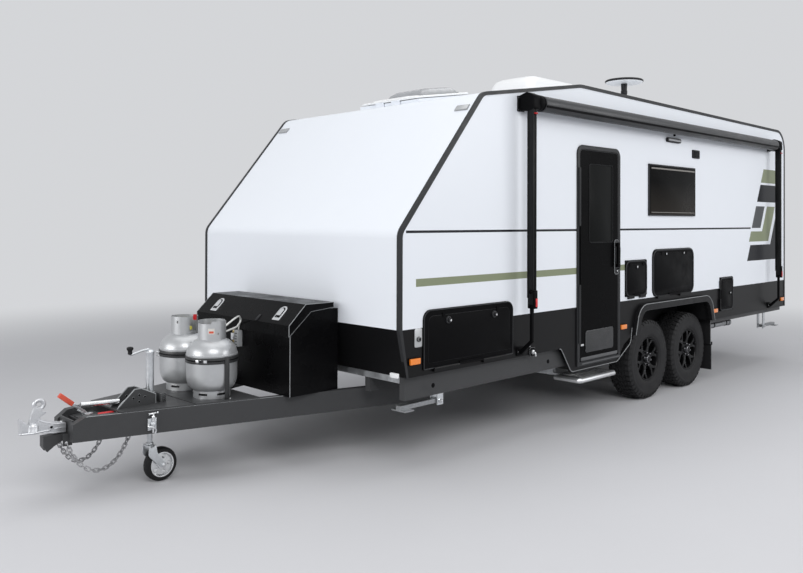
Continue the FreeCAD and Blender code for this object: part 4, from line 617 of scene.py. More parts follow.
def tread_block(shape, centre, out, turn0, turn1, y0, y1, inner_r, top_r0, top_r1, skew):
    """One rubber block on the tyre, with a curved top and slanted ends."""
    verts = []
    for k in range(3):
        for y, top_r in ((y0, top_r0), (y1, top_r1)):
            for radius in (inner_r, top_r):
                turn = turn0 + (turn1 - turn0) * k / 2 + skew * (y - y0)
                verts.append((centre.x + radius * math.cos(turn), centre.y + out * y,
                              centre.z + radius * math.sin(turn)))
    faces = []
    for k in range(2):
        low = k * 4
        faces += [(low + 1, low + 5, low + 7, low + 3), (low, low + 4, low + 5, low + 1),
                  (low + 2, low + 3, low + 7, low + 6)]
    faces += [(0, 1, 3, 2), (8, 10, 11, 9)]
    shape.add(verts, faces, "tyre")


def make_tyre(node, body, out):
    centre = middle(node)
    axis = (0, out, 0)
    side = [(0.098, 0.209), (0.108, 0.214), (0.113, 0.224), (0.1155, 0.233), (0.1185, 0.236),
            (0.1205, 0.242), (0.1215, 0.262), (0.1228, 0.287), (0.1222, 0.306), (0.1205, 0.322),
            (0.1215, 0.326), (0.121, 0.333), (0.1165, 0.343), (0.112, 0.353), (0.106, 0.363),
            (0.098, 0.3705), (0.06, 0.376)]
    rows = [(-a, r) for a, r in side] + [(0, 0.377)] + side[::-1]
    tyre = Shape().turn(centre, axis, rows, 96, "tyre", loop=True)
    pitch = TAU / PITCHES
    # Start and end along the pitch, near and far edge, foot radius, top radii and slant
    blocks = ((0, 0.72, 0.003, 0.027, 0.37, TYRE_R, TYRE_R, 3.0),
              (0.3, 1.02, 0.034, 0.062, 0.37, TYRE_R, TYRE_R, -2.2),
              (0, 0.7, 0.069, 0.106, 0.356, TYRE_R - 0.0005, 0.3795, 0.6))
    shoulders = ((0.05, 0.66, 0.104, 0.1185, 0.338, 0.3795, 0.349, 0.0),
                 (0.1, 0.62, 0.104, 0.1155, 0.35, 0.3795, 0.36, 0.0))
    for i in range(PITCHES):
        for way in (-1, 1):
            t = i * pitch + (0.5 * pitch if way > 0 else 0)
            for a, b, y0, y1, *rest in blocks + (shoulders[i % 2],):
                tread_block(tyre, centre, out, t + pitch * a, t + pitch * b, way * y0, way * y1,
                            *rest)
    tyre.make("tread_" + node, body, (node,))


def make_rim(node, body, out):
    centre = middle(node.replace("rim", "tyre"))
    axis = (0, out, 0)
    rim = Shape()
    rim.turn(centre, axis, [(0.0995, 0.2085), (0.1035, 0.208), (0.1045, 0.205), (0.1035, 0.202),
            (0.0985, 0.1975), (0.09, 0.1945), (0.05, 0.19), (0.02, 0.183), (-0.04, 0.181),
            (-0.085, 0.186), (-0.0985, 0.201), (-0.0985, 0.2085)], 96, "rim", loop=True)
    edge = [(0.052, -0.027, 0), (0.112, -0.019, 0.02), (0.152, -0.034, 0.02), (0.19, -0.062, 0),
            (0.1925, -0.03, 0)]
    outline = rounded(edge + [(0.14, 0.0, 0.012)] + [(a, -b, r) for a, b, r in edge[::-1]], 3)
    for i in range(SPOKES):
        turn = TAU * (i + 0.25) / SPOKES
        ahead = Vector((math.cos(turn), 0, math.sin(turn)))
        across = Vector((-math.sin(turn), 0, math.cos(turn)))
        rim.loft([[centre + ahead * a + across * b
                   + Vector(axis) * (0.06 + 0.016 * (a - 0.052) / 0.14 + thick)
                   for a, b in outline] for thick in (0.0, 0.02)], "rim")
    rim.turn(centre, axis, [(-0.018, 0.125), (0.05, 0.128), (0.058, 0.124)], 64, "satin")
    rim.turn(centre, axis, [(0.052, 0.08), (0.078, 0.08), (0.082, 0.076), (0.082, 0.046)], 64,
             "rim")
    rim.make("wheel_" + node, body, (node,), bevel=0.0022)
    metal = Shape()
    for i in range(SPOKES):
        turn = TAU * (i + 0.75) / SPOKES
        at = centre + Vector((math.cos(turn), 0, math.sin(turn))) * 0.0625
        metal.turn(at, axis, [(0.078, 0.0115), (0.087, 0.0105), (0.102, 0.01), (0.108, 0.007)],
                   6, "nut")
    metal.turn(centre, axis, [(0.08, 0.04), (0.086, 0.04), (0.092, 0.037), (0.112, 0.0355),
            (0.1165, 0.031)], 48, "nut")
    metal.turn(centre, axis, [(0.112, 0.03), (0.118, 0.029), (0.1205, 0.02)], 48, "rim")
    stem = centre + Vector((0.16, out * 0.086, 0.055))
    metal.rod(stem, stem + Vector((-0.006, out * 0.03, -0.002)), 0.0045, "rubber", 10)
    metal.make("nuts_" + node, body, bevel=0.0008)


for row in ("front", "rear"):
    for name, out in (("near", NEAR), ("far", FAR)):
        spot = row + "_" + name
        make_tyre("tyre_" + spot, "wheel_" + spot, out)
        make_rim("rim_" + spot, "wheel_" + spot, out)


# Jockey wheel and its post
# Axis of the post and middle of the wheel
JX, JY = -1.205, -0.1
AXLE = Vector((-1.129, JY, 0.111))


def make_jockey():
    half = [(-0.0325, 0.0825), (-0.0325, 0.093), (-0.03, 0.101), (-0.025, 0.107),
            (-0.017, 0.1105), (-0.006, 0.111)]
    tyre = Shape().turn(AXLE, (0, 1, 0), half + [(-a, r) for a, r in half[::-1]], 80, "rubber",
            loop=True)
    tyre.make("jockey_rubber", "jockey_wheel", ("jockey_tyre",))
    lip = Shape()
    for way in (-1, 1):
        lip.turn(AXLE, (0, way, 0), [(0.025, 0.0815), (0.0335, 0.0815), (0.034, 0.079),
                (0.032, 0.075), (0.023, 0.0745)], 80, "chrome", loop=True)
        lip.turn(AXLE, (0, way, 0), [(0.018, 0.033), (0.0335, 0.03), (0.035, 0.025),
                (0.035, 0.007)], 40, "chrome")
    lip.make("jockey_lip", "jockey_wheel")
    fork = Shape()
    cheek = rounded([(JX - 0.026, 0.2517, 0.006), (JX + 0.026, 0.2517, 0.012),
                     (JX + 0.034, 0.2, 0.03), (AXLE.x + 0.02, 0.122, 0.016),
                     (AXLE.x + 0.006, 0.0935, 0.014), (AXLE.x - 0.02, 0.101, 0.02),
                     (JX - 0.028, 0.186, 0.03)])
    for way in (-1, 1):
        y = JY + way * 0.045
        fork.prism(cheek, "y", y, y - way * 0.005, "galv")
    fork.prism(pane(JX - 0.026, JX + 0.026, JY - 0.045, JY + 0.045, 0.012), "z", 0.24, 0.2517,
               "galv")
    reach = Vector((0, 0.046, 0))
    fork.rod(AXLE - reach, AXLE + reach, 0.006, "galv")
    for way in (-1, 1):
        start = AXLE + Vector((0, way * 0.045, 0))
        fork.turn(start, (0, way, 0), [(0, 0.0135), (0.002, 0.0135)], 24, "galv")
        fork.turn(start, (0, way, 0), [(0.002, 0.01), (0.0085, 0.0095)], 6, "zinc")
    fork.make("jockey_fork_sheet", "jockey_fork", ("jockey_fork",), bevel=0.0015)
    post = Shape()
    post.turn((JX, JY, 0), UP, [(0.415, 0.019), (0.415, 0.0258), (0.416, 0.0262), (0.708, 0.0262),
            (0.709, 0.0245), (0.711, 0.0245), (0.712, 0.0262), (0.856, 0.0262), (0.861, 0.028),
            (0.867, 0.0275), (0.874, 0.022), (0.879, 0.012), (0.88, 0.001), (0.84, 0.001),
            (0.84, 0.019)], 48, "galv", loop=True)
    arm = rounded([(JX, 0.874, 0), (JX - 0.012, 0.8825, 0.01), (JX - 0.06, 0.876, 0.03),
                   (-1.344, 0.856, 0.01), (-1.344, 0.9, 0)], 5)
    post.tube([(a, JY, b) for a, b in arm], 0.0072, "galv", 12)
    post.turn((-1.344, JY, 0), UP, [(0.86, 0.009), (0.864, 0.015), (0.882, 0.0135), (0.89, 0.019),
            (0.898, 0.022), (0.906, 0.0205), (0.91, 0.012)], 32, "rubber")
    post.turn((JX, JY, 0), UP, [(0.588, 0.029), (0.59, 0.03), (0.596, 0.03), (0.598, 0.029)], 40,
            "galv")
    post.make("jockey_tube", "caravan", ("jockey_post",))
    stem = Shape().turn((JX, JY, 0), UP, [(0.252, 0.017), (0.254, 0.0175), (0.689, 0.0175),
            (0.69, 0.0165)], 40, "galv")
    stem.turn((JX, JY, 0), UP, [(0.2522, 0.024), (0.254, 0.025), (0.262, 0.025), (0.264, 0.024)],
            40, "galv")
    stem.rod((JX, JY, 0.244), (JX, JY, 0.2525), 0.008, "galv")
    stem.make("jockey_tube_inner", "jockey_stem", ("jockey_stem",))


make_jockey()


# Gas bottles with their straps
# Their axes in x, the shelf under them, and the levels of the rows of faces in a collar
# and in a foot ring
BX = -0.8
BASE = 0.53
RING_STEPS = 96
COLLAR = (0.9, 0.915, 0.94, 0.955, 0.97, 0.985, 1.0, 1.02, 1.03, 1.0465)
FOOT = (0.0, 0.022, 0.036, 0.058)


def sheet_ring(name, y, radius, levels, keep):
    """Thin ring round a bottle's axis; keep(k, i) says which of its faces are there."""
    ring = Shape()
    ring.loft([[(BX + radius * math.cos(t), y + radius * math.sin(t), z)
                for t in turns(RING_STEPS)] for z in levels], "bottle", keep=keep)
    ring.make(name, thick=0.003)


def make_bottle(name, y, windows):
    """One bottle; windows in its collar are (start, end, low, high) in degrees and metres."""
    body = Shape()
    rows = [(0.046, 0.1), (0.05, 0.124), (0.058, 0.139), (0.072, 0.152), (0.09, 0.1615),
            (0.112, 0.168), (0.14, 0.1715), (0.16, 0.172), (0.286, 0.172), (0.2875, 0.1745),
            (0.294, 0.1745), (0.2955, 0.172), (0.308, 0.17), (0.324, 0.1655), (0.34, 0.1575),
            (0.355, 0.1465), (0.37, 0.131), (0.383, 0.112), (0.392, 0.091), (0.398, 0.065),
            (0.401, 0.035), (0.402, 0.002)]
    body.turn((BX, y, BASE), UP, rows, 96, "bottle")
    body.turn((BX, y, BASE), UP, [(0.398, 0.023), (0.412, 0.022), (0.418, 0.02)], 32,
              "bottle")
    body.make("bottle_" + name, "caravan", ("gas_bottles",) if name == "near" else ())
    sheet_ring("bottle_foot_" + name, y, 0.1255, [BASE + z for z in FOOT],
               lambda k, i: not (k == 1 and 4 <= i % 16 < 12))

    def solid(k, i):
        at = (i + 0.5) / RING_STEPS * 360
        high = (COLLAR[k] + COLLAR[k + 1]) / 2
        return not any(a <= at <= b and low <= high <= top for a, b, low, top in windows)
    sheet_ring("bottle_collar_" + name, y, 0.0945, COLLAR, solid)
    valve = Shape()
    valve.turn((BX, y, 0), UP, [(0.93, 0.015), (0.95, 0.015), (0.952, 0.011), (0.975, 0.011)], 20,
            "brass")
    valve.turn((BX, y, 0), UP, [(0.975, 0.02), (0.979, 0.024), (0.992, 0.024), (0.996, 0.02)], 10,
            "yellow" if name == "far" else "rubber")
    valve.rod((BX, y, 0.962), around(y, -80, 0.06, 0.962), 0.0095, "brass")
    valve.rod(around(y, -80, 0.044, 0.962), around(y, -80, 0.066, 0.962), 0.0155,
              "yellow" if name == "far" else "brass")
    valve.make("bottle_valve_" + name, bevel=0.001)


def ring_band(shape, y, z0, z1, inner, outer, look):
    """Strap all round a bottle."""
    shape.turn((BX, y, 0), UP, [(z0, inner), (z0, outer), (z1, outer), (z1, inner)], 96,
               look, loop=True)


def around(y, degrees, radius, z):
    """A place at an angle and distance from a bottle's axis."""
    turn = math.radians(degrees)
    return Vector((BX + radius * math.cos(turn), y + radius * math.sin(turn), z))


def make_bottles():
    near_y, far_y = -0.2, 0.172
    make_bottle("near", near_y, [(322, 352, 0.95, 1.1), (150, 235, 1.03, 1.1),
                                 (262, 268, 0.955, 0.97)])
    make_bottle("far", far_y, [(262, 305, 0.94, 1.03), (205, 213, 1.0, 1.02)])
    label = Shape()
    for degrees, width, z0, z1, look in ((236, 13, 0.962, 1.0, "label"),
                                         (236, 9, 0.968, 0.982, "grip")):
        radius = 0.0965 if look == "label" else 0.097
        low = [around(near_y, degrees + a, radius, z0)
               for a in (-width, -width / 2, 0, width / 2, width)]
        high = [v + Vector((0, 0, z1 - z0)) for v in low]
        label.add(low + high, [(i, i + 1, i + 6, i + 5) for i in range(4)], look)
    label.make("bottle_label")
    tag = Shape()
    at = around(far_y, 278, 0.097, 1.022)
    tag.slab(at, (0.03, 0.006, -0.002), (0.001, -0.0015, 0), (0, 0, 0.04), "tag")
    tag.make("bottle_tag")
    hold = Shape()
    for y in (near_y, far_y):
        ring_band(hold, y, 0.77, 0.812, 0.1722, 0.1778, "strap")
        ring_band(hold, y, 0.7865, 0.7955, 0.177, 0.1788, "satin")
    hold.box(-0.6275, -0.5815, -0.06, 0.032, 0.77, 0.812, "strap")
    hold.box(-0.6275, -0.5815, -0.037, 0.009, 0.53, 0.77, "strap")
    hold.prism([(-0.6275, near_y - 0.02), (-0.6215, near_y - 0.02), (-0.5815, -0.06),
                (-0.5815, 0.032), (-0.6215, far_y + 0.02), (-0.6275, far_y + 0.02)],
               "z", 0.775, 0.807, "strap")
    bar = around(near_y, -87.0, 0.1765, 0)
    hold.box(bar.x - 0.017, bar.x + 0.017, bar.y - 0.005, bar.y, 0.531, 0.814, "strap")
    hold.box(bar.x - 0.028, bar.x + 0.034, bar.y - 0.012, bar.y + 0.03, 0.5205, 0.531, "strap")
    hold.make("bottle_straps", "caravan", ("bottle_holder",), bevel=0.001)
    bright = Shape()
    for degrees, look in ((207, "zinc"), (216, "dark"), (225, "zinc")):
        at = around(near_y, degrees, 0.179, 0.791)
        out = (at - Vector((BX, near_y, 0.791))).normalized()
        side = Vector(UP).cross(out)
        bright.slab(at - side * 0.011 - Vector((0, 0, 0.009)), side * 0.022, out * 0.004,
                    (0, 0, 0.018), look)
    b = around(far_y, 168, 0.186, 0.79)
    for dz in (-0.012, 0.012):
        bright.rod(b + Vector((-0.004, -0.024, dz)), b + Vector((-0.004, 0.024, dz)), 0.0045,
                   "zinc", 10)
    for dy in (-0.016, 0.008):
        bright.slab(b + Vector((-0.01, dy, -0.02)), (0.006, 0, 0), (0, 0.01, 0), (0, 0, 0.04),
                    "zinc")
    foot = Vector((bar.x + 0.024, bar.y - 0.002, 0.531))
    bright.turn(foot, UP, [(0, 0.009), (0.006, 0.009)], 6, "zinc")
    bright.make("strap_clasps", bevel=0.0006)
    pipe = Shape()
    start = around(near_y, -34, 0.06, 0.99)
    pipe.tube(smooth([start, around(near_y, -34, 0.095, 1.01), (-0.63, -0.215, 1.044),
                      (-0.545, -0.14, 1.046), (-0.497, -0.088, 1.022), (-0.5, -0.086, 0.996),
                      (-0.545, -0.12, 0.976), (-0.6, -0.175, 0.974),
                      around(near_y, -20, 0.098, 0.965)], 8), 0.0065, "hose", 12)
    pipe.tube(smooth([(-0.5, -0.086, 1.0), (-0.47, -0.04, 0.985), (-0.452, 0.0, 0.96),
                      (-0.448, 0.012, 0.93)], 6), 0.0055, "hose", 10)
    pipe.make("gas_pipe")
    gauge = Shape()
    gauge.box(-0.47, -0.4312, -0.012, 0.036, 0.806, 0.926, "grey")
    for k in range(5):
        z = 0.818 + 0.02 * k
        gauge.box(-0.4725, -0.469, -0.004, 0.028, z, z + 0.009, "satin")
    gauge.box(-0.468, -0.4312, 0.044, 0.086, 0.85, 0.9, "zinc")
    gauge.turn((-0.452, 0.065, 0.9), UP, [(0, 0.012), (0.02, 0.012), (0.024, 0.008)],
               20, "brass")
    gauge.turn((-0.452, 0.065, 0.826), UP, [(0, 0.009), (0.024, 0.01)], 20, "brass")
    gauge.make("gas_regulator", bevel=0.002)


make_bottles()


# Coupling head and hand brake
def make_coupling():
    head = Shape()
    nose = rounded([(-1.9945, 0.541, 0.004), (-1.974, 0.52, 0), (-1.952, 0.501, 0.012),
                    (-1.934, 0.47, 0), (-1.934, 0.44, 0), (-1.992, 0.44, 0.004),
                    (-1.99, 0.476, 0.01), (-1.996, 0.526, 0.01)], 4)
    head.prism(nose, "y", -0.0195, 0.0195, "cast")
    head.turn((-1.915, 0, 0), UP, [(0.437, 0.0262), (0.437, 0.038), (0.44, 0.0395), (0.454, 0.0395),
            (0.458, 0.037), (0.48, 0.0365), (0.492, 0.0325), (0.5, 0.024), (0.504, 0.012),
            (0.5045, 0.001), (0.49, 0.001), (0.488, 0.012), (0.47, 0.0262), (0.461, 0.0262)], 64,
            "cast", loop=True)
    plan = [(-1.991, 0.0), (-1.986, 0.015), (-1.96, 0.023), (-1.938, 0.032), (-1.915, 0.0365),
            (-1.893, 0.033), (-1.872, 0.0275), (-1.85, 0.0255), (-1.82, 0.0235)]
    rim = [(x, y, 0.4445) for x, y in plan] + [(x, -y, 0.4445) for x, y in plan[:0:-1]]
    rim = smooth(rim + [rim[0]], 3)[:-1]
    head.tube(rim, 0.0068, "cast", 12, closed=True)
    stalk = rounded([(-1.94, 0.49, 0), (-1.9385, 0.505, 0.02), (-1.924, 0.556, 0.05),
                     (-1.912, 0.595, 0), (-1.86, 0.585, 0), (-1.864, 0.564, 0.004),
                     (-1.842, 0.558, 0.004), (-1.838, 0.55, 0.004), (-1.87, 0.532, 0.006),
                     (-1.881, 0.52, 0.01), (-1.893, 0.48, 0)], 4)
    head.prism(stalk, "y", -0.0125, 0.0125, "cast")
    ring = [(-1.8795 + 0.0285 * math.cos(t), 0, 0.606 + 0.025 * math.sin(t)) for t in turns(40)]
    head.tube(ring, 0.0118, "cast", 16, closed=True, flat=1.15)
    body = rounded([(-1.898, 0.442, 0), (-1.9, 0.498, 0.006), (-1.88, 0.524, 0.01),
                    (-1.845, 0.504, 0.04), (-1.79, 0.486, 0.06), (-1.724, 0.473, 0.003),
                    (-1.724, 0.415, 0.003), (-1.8, 0.419, 0.03), (-1.87, 0.433, 0.02)], 5)
    head.prism(body, "y", -0.0245, 0.0245, "cast")
    for way in (-1, 1):
        y = way * 0.0245
        head.tube([(-1.884, y, 0.512), (-1.845, y, 0.494), (-1.79, y, 0.4775), (-1.726, y, 0.466)],
                  0.004, "cast", 8)
        head.tube([(-1.795, y, 0.448), (-1.726, y, 0.448)], 0.0035, "cast", 8)
        head.tube([(-1.868, y, 0.438), (-1.8, y, 0.425), (-1.726, y, 0.4205)], 0.0045, "cast", 8)
        head.turn((-1.813, y, 0.46), (0, way, 0), [(0, 0.0165), (0.003, 0.016), (0.0036, 0.01),
                (0.001, 0.009)], 28, "cast")
        head.turn((-1.813, y, 0.46), (0, way, 0), [(0.0008, 0.0092), (0.0016, 0.0088)], 24, "satin")
    head.make("coupling_cast", "caravan", ("coupling",), bevel=0.004, segments=3)
    bolt = Shape()
    for x in (-1.772, -1.742):
        bolt.turn((x, 0, 0.4745), UP, [(0, 0.0125), (0.0015, 0.0125)], 24, "zinc")
        bolt.turn((x, 0, 0.476), UP, [(0, 0.0095), (0.007, 0.009)], 6, "zinc")
    bolt.make("coupling_bolts", bevel=0.0006)


def make_brake():
    base = Vector((-1.575, 0, 0.494))
    tip = Vector((-1.756, 0, 0.643))
    ahead = (tip - base).normalized()
    up = Vector((0, 1, 0)).cross(ahead)
    if up.z < 0:
        up = -up
    lever = Shape()
    lever.slab(base - ahead * 0.015 - up * 0.01 + Vector((0, -0.0035, 0)), ahead * 0.17,
               (0, 0.007, 0), up * 0.02, "galv")
    lever.slab(base - up * 0.016 + ahead * 0.02 + Vector((0, -0.012, 0)), ahead * 0.06,
               (0, 0.005, 0), up * 0.01, "galv")
    for y in (-0.01, 0.0045):
        lever.box(-1.605, -1.545, y, y + 0.0055, 0.48, 0.505, "galv")
    lever.rod((-1.575, -0.0125, 0.494), (-1.575, 0.0125, 0.494), 0.006, "zinc")
    lever.make("brake_lever", "caravan", ("hand_brake",), bevel=0.0012)
    grip = Shape()
    start = tip - ahead * 0.106 - up * 0.015 + Vector((0, -0.013, 0))
    grip.slab(start, ahead * 0.108, (0, 0.026, 0), up * 0.03, "grip")
    grip.make("brake_grip", bevel=0.0035, segments=3)


make_coupling()
make_brake()


# Drawbar details
def rail_y(x):
    """Outer face of the near drawbar rail."""
    return -(0.146 + 0.288 * (x + 1.73))


def make_drawbar_details():
    plates = Shape()
    for y in (-0.149, -0.051):
        # Pale tube round each plate's edge: a painted edge highlight
        plates.tube([(-1.452, y, 0.531), (-1.335, y, 0.6405), (-1.29, y, 0.6405),
                     (-1.189, y, 0.5915), (-1.189, y, 0.531)], 0.0042, "edge", 8)
        for x, z in ((-1.345, 0.585), (-1.305, 0.6), (-1.265, 0.585), (-1.305, 0.558)):
            plates.turn((x, y, z), (0, -1, 0), [(0.0025, 0.0085), (0.0036, 0.008)], 20, "black")
    plates.box(-1.158, -1.15, -0.16, -0.05, 0.5305, 0.59, "chassis")
    plates.box(-1.15, -1.12, -0.16, -0.154, 0.5305, 0.59, "chassis")
    for z in (0.548, 0.572):
        plates.turn((-1.135, -0.16, z), (0, -1, 0), [(0, 0.006), (0.0012, 0.0055)], 16, "black")
    plates.make("post_plates", bevel=0.0012)
    # Pale tube along the top outer edge of each rail: a painted highlight
    edge = Shape()
    for way in (-1, 1):
        edge.tube([(x, -way * (rail_y(x) + 0.002), 0.5198) for x in (-1.658, -0.432)], 0.0022,
                  "edge", 8)
    edge.make("rail_edge_highlights")
    clamp = Shape()
    x = -1.28
    y = rail_y(x)
    clamp.box(x - 0.03, x + 0.03, y - 0.008, y + 0.0005, 0.395, 0.47, "galv")
    clamp.rod((x, y - 0.02, 0.38), (x, y - 0.02, 0.505), 0.0065, "zinc")
    clamp.turn((x, y - 0.02, 0.425), UP, [(0, 0.016), (0.004, 0.018), (0.02, 0.018),
            (0.024, 0.016)], 20, "galv")
    clamp.rod((x - 0.03, y - 0.024, 0.503), (x + 0.03, y - 0.016, 0.503), 0.005, "chrome")
    for way in (-1, 1):
        clamp.turn((x + way * 0.03, y - 0.02 + way * 0.004, 0.503), (way, 0, 0),
                   [(-0.002, 0.0065), (0.002, 0.008), (0.005, 0.006)], 16, "chrome")
    clamp.turn((x, y - 0.02, 0.47), UP, [(0, 0.01), (0.006, 0.012), (0.014, 0.012), (0.02, 0.009)],
            16, "zinc")
    clamp.tube(smooth([(x - 0.03, y - 0.014, 0.44), (x - 0.036, y - 0.03, 0.425),
                       (x - 0.01, y - 0.04, 0.42), (x + 0.012, y - 0.034, 0.4),
                       (x + 0.01, y - 0.026, 0.374)], 5), 0.0055, "zinc", 10)
    clamp.make("jockey_clamp", bevel=0.001)
    tools = Shape()
    a = Vector((-1.64, -0.04, 0.572))
    b = Vector((-1.405, -0.075, 0.564))
    tools.turn(a, b - a, [(0, 0.012), (0, 0.0165), ((b - a).length, 0.0165),
            ((b - a).length, 0.012)], 24, "zinc", loop=True)
    tools.box(-1.64, -1.48, -0.1, 0.06, 0.4805, 0.486, "chassis")
    tools.make("winder_tube")
    red = Shape()
    red.slab((-1.552, -0.105, 0.487), (0.1, -0.01, 0), (0.004, 0.03, 0), (0, 0, 0.028), "tag")
    red.make("brake_cover", bevel=0.006, segments=3)
    pins = Shape()
    for dx, dy in ((0.0, 0.0), (0.02, 0.014), (0.034, 0.004)):
        pins.tube(smooth([(-1.44 + dx, -0.1 + dy, 0.5), (-1.41 + dx, -0.105 + dy, 0.545),
                          (-1.375 + dx, -0.11 + dy, 0.575), (-1.35 + dx, -0.1 + dy, 0.56),
                          (-1.372 + dx, -0.095 + dy, 0.54)], 5), 0.0042, "chrome", 8)
    pins.make("spring_pins")


make_drawbar_details()


# Toolbox details, most of them on the sloping front of its lid
LID_FOOT = Vector((-0.448, 0, 1.012))
LID_UP = Vector((0.144, 0, 0.138)).normalized()
LID_OUT = Vector((-LID_UP.z, 0, LID_UP.x))


def on_lid(across, up, out):
    """A place on the lid's sloping front."""
    return LID_FOOT + Vector((0, across, 0)) + LID_UP * up + LID_OUT * out


def lid_prism(shape, outline, low, high, look):
    """Outline (across, up) on the lid's front, from low to high outside it."""
    shape.loft([[on_lid(a, b, t) for a, b in outline] for t in (low, high)], look)


def make_toolbox_details():
    latch = Shape()
    for y in (0.401, -0.416):
        for half, low, high, soft, softer, foot, top, look in (
                (0.042, 0.03, 0.158, 0.006, 0.04, 0.0, 0.0045, "chrome"),
                (0.03, 0.052, 0.146, 0.004, 0.029, 0.004, 0.006, "satin"),
                (0.021, 0.07, 0.134, 0.004, 0.02, 0.0055, 0.011, "chrome")):
            outline = rounded([(y - half, low, soft), (y + half, low, soft),
                               (y + half, high, softer), (y - half, high, softer)], 8)
            lid_prism(latch, outline, foot, top, look)
        for a in (-0.034, 0.034):
            head = [(y + a + 0.0035 * math.cos(t), 0.04 + 0.0035 * math.sin(t)) for t in turns(12)]
            lid_prism(latch, head, 0.004, 0.0058, "zinc")
    latch.make("lid_latches", "toolbox_lid", bevel=0.0012)
    hasp = Shape()
    outline = rounded([(-0.222, 0.004, 0.004), (-0.196, 0.004, 0.004), (-0.196, 0.06, 0.01),
                       (-0.222, 0.06, 0.01)], 4)
    lid_prism(hasp, outline, 0.0, 0.005, "dark")
    hasp.make("lid_hasp", "toolbox_lid", bevel=0.001)
    # Pale tubes along the lid's side edges are painted highlights; the dark tube along its foot is
    # the joint
    edges = Shape()
    for y in (-0.6045, 0.6045):
        edges.tube([(-0.447, y, 0.936), (-0.447, y, 1.012), (-0.304, y, 1.1492), (-0.056, y, 1.1492)],
                   0.0024, "edge", 8)
        edges.tube([(-0.447, y, 0.936), (-0.258, y, 1.096), (-0.056, y, 1.113)], 0.002, "edge", 8)
    edges.tube([(-0.447, -0.6045, 1.012), (-0.447, 0.6045, 1.012)], 0.002, "satin", 8)
    edges.make("lid_highlights_and_joint", "toolbox_lid")
    # Pale tubes down the box's front corners: painted highlights
    body = Shape()
    for y in (-0.595, 0.595):
        body.tube([(-0.431, y, 0.522), (-0.431, y, 0.984)], 0.0024, "edge", 8)
    body.make("toolbox_corner_highlights")


make_toolbox_details()


# Doors, lockers and fittings on the near and far walls
DOOR_FRONT, DOOR_REAR = 2.118, 2.804


def inset(box, by, radius):
    """Pane inside a box (x0, x1, z0, z1), in from all its edges."""
    x0, x1, z0, z1 = box
    return pane(x0 + by, x1 - by, z0 + by, z1 - by, radius)


def wall_prism(shape, outline, side, low, high, look):
    """Outline (x, z) on a side wall, from low to high outside its face."""
    shape.prism(outline, "y", side * (HALF + low), side * (HALF + high), look)


def band(shape, outline, side, out, radius, look):
    """Round bead that follows an outline (x, z) on a side wall; in the pale edge look it is a painted
    highlight.
    """
    shape.tube([(a, side * (HALF + out), b) for a, b in outline], radius, look, 8, closed=True)


def barrel_lock(shape, x, z, side, out):
    """Flat round lock with a bright core and a key slot."""
    at = wall(side, x, z, out)
    shape.turn(at, (0, side, 0), [(0, 0.02), (0.005, 0.02), (0.0075, 0.018)], 28, "black")
    shape.turn(at, (0, side, 0), [(0.007, 0.011), (0.0095, 0.0105)], 20, "zinc")
    shape.slab(at + Vector((-0.0012, side * 0.009, -0.006)), (0.0024, 0, 0), (0, side * 0.001, 0),
               (0, 0, 0.012), "satin")


def turn_lock(shape, x, z, side, out):
    """Thick black knob over a lock, with a bright key face and a painted highlight round its rim."""
    at = wall(side, x, z, out)
    shape.turn(at, (0, side, 0), [(0, 0.027), (0.006, 0.027), (0.009, 0.024)], 32, "dark")
    shape.turn(at, (0, side, 0), [(0.008, 0.019), (0.02, 0.0185), (0.023, 0.016)], 32, "dark")
    shape.turn(at + Vector((0.004, 0, -0.003)), (0, side, 0), [(0.022, 0.0085), (0.0245, 0.008)],
               20, "zinc")
    # Pale ring round the knob's rim: a painted highlight
    shape.tube([at + Vector((0.022 * math.cos(t), side * 0.0085, 0.022 * math.sin(t)))
                for t in turns(20)], 0.0024, "edge", 6, closed=True)


def make_boot(side, body, name):
    trim = Shape()
    outline = pane(0.2285, 1.2175, 0.712, 1.1135, 0.006, 8, 0.065)
    band(trim, outline, side, 0.0085, 0.0045, "mould")
    inner = pane(0.27, 1.176, 0.75, 1.075, 0.01, 8, 0.045)
    wall_prism(trim, inner, side, 0.0095, 0.013, "satin")
    for x in (0.471, 0.984):
        turn_lock(trim, x, 1.035, side, 0.0125)
    trim.make(name, body, bevel=0.001)


def make_locker(body, name, radius, locks):
    low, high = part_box(body)
    box = low.x - OX, high.x - OX, low.z, high.z
    trim = Shape()
    band(trim, inset(box, 0.006, radius), NEAR, 0.008, 0.0075, "mould")
    wall_prism(trim, inset(box, 0.036, radius * 0.7), NEAR, 0.0095, 0.013, "satin")
    for x, z in locks:
        barrel_lock(trim, x, z, NEAR, 0.0098)
    trim.make(name, body, bevel=0.001)


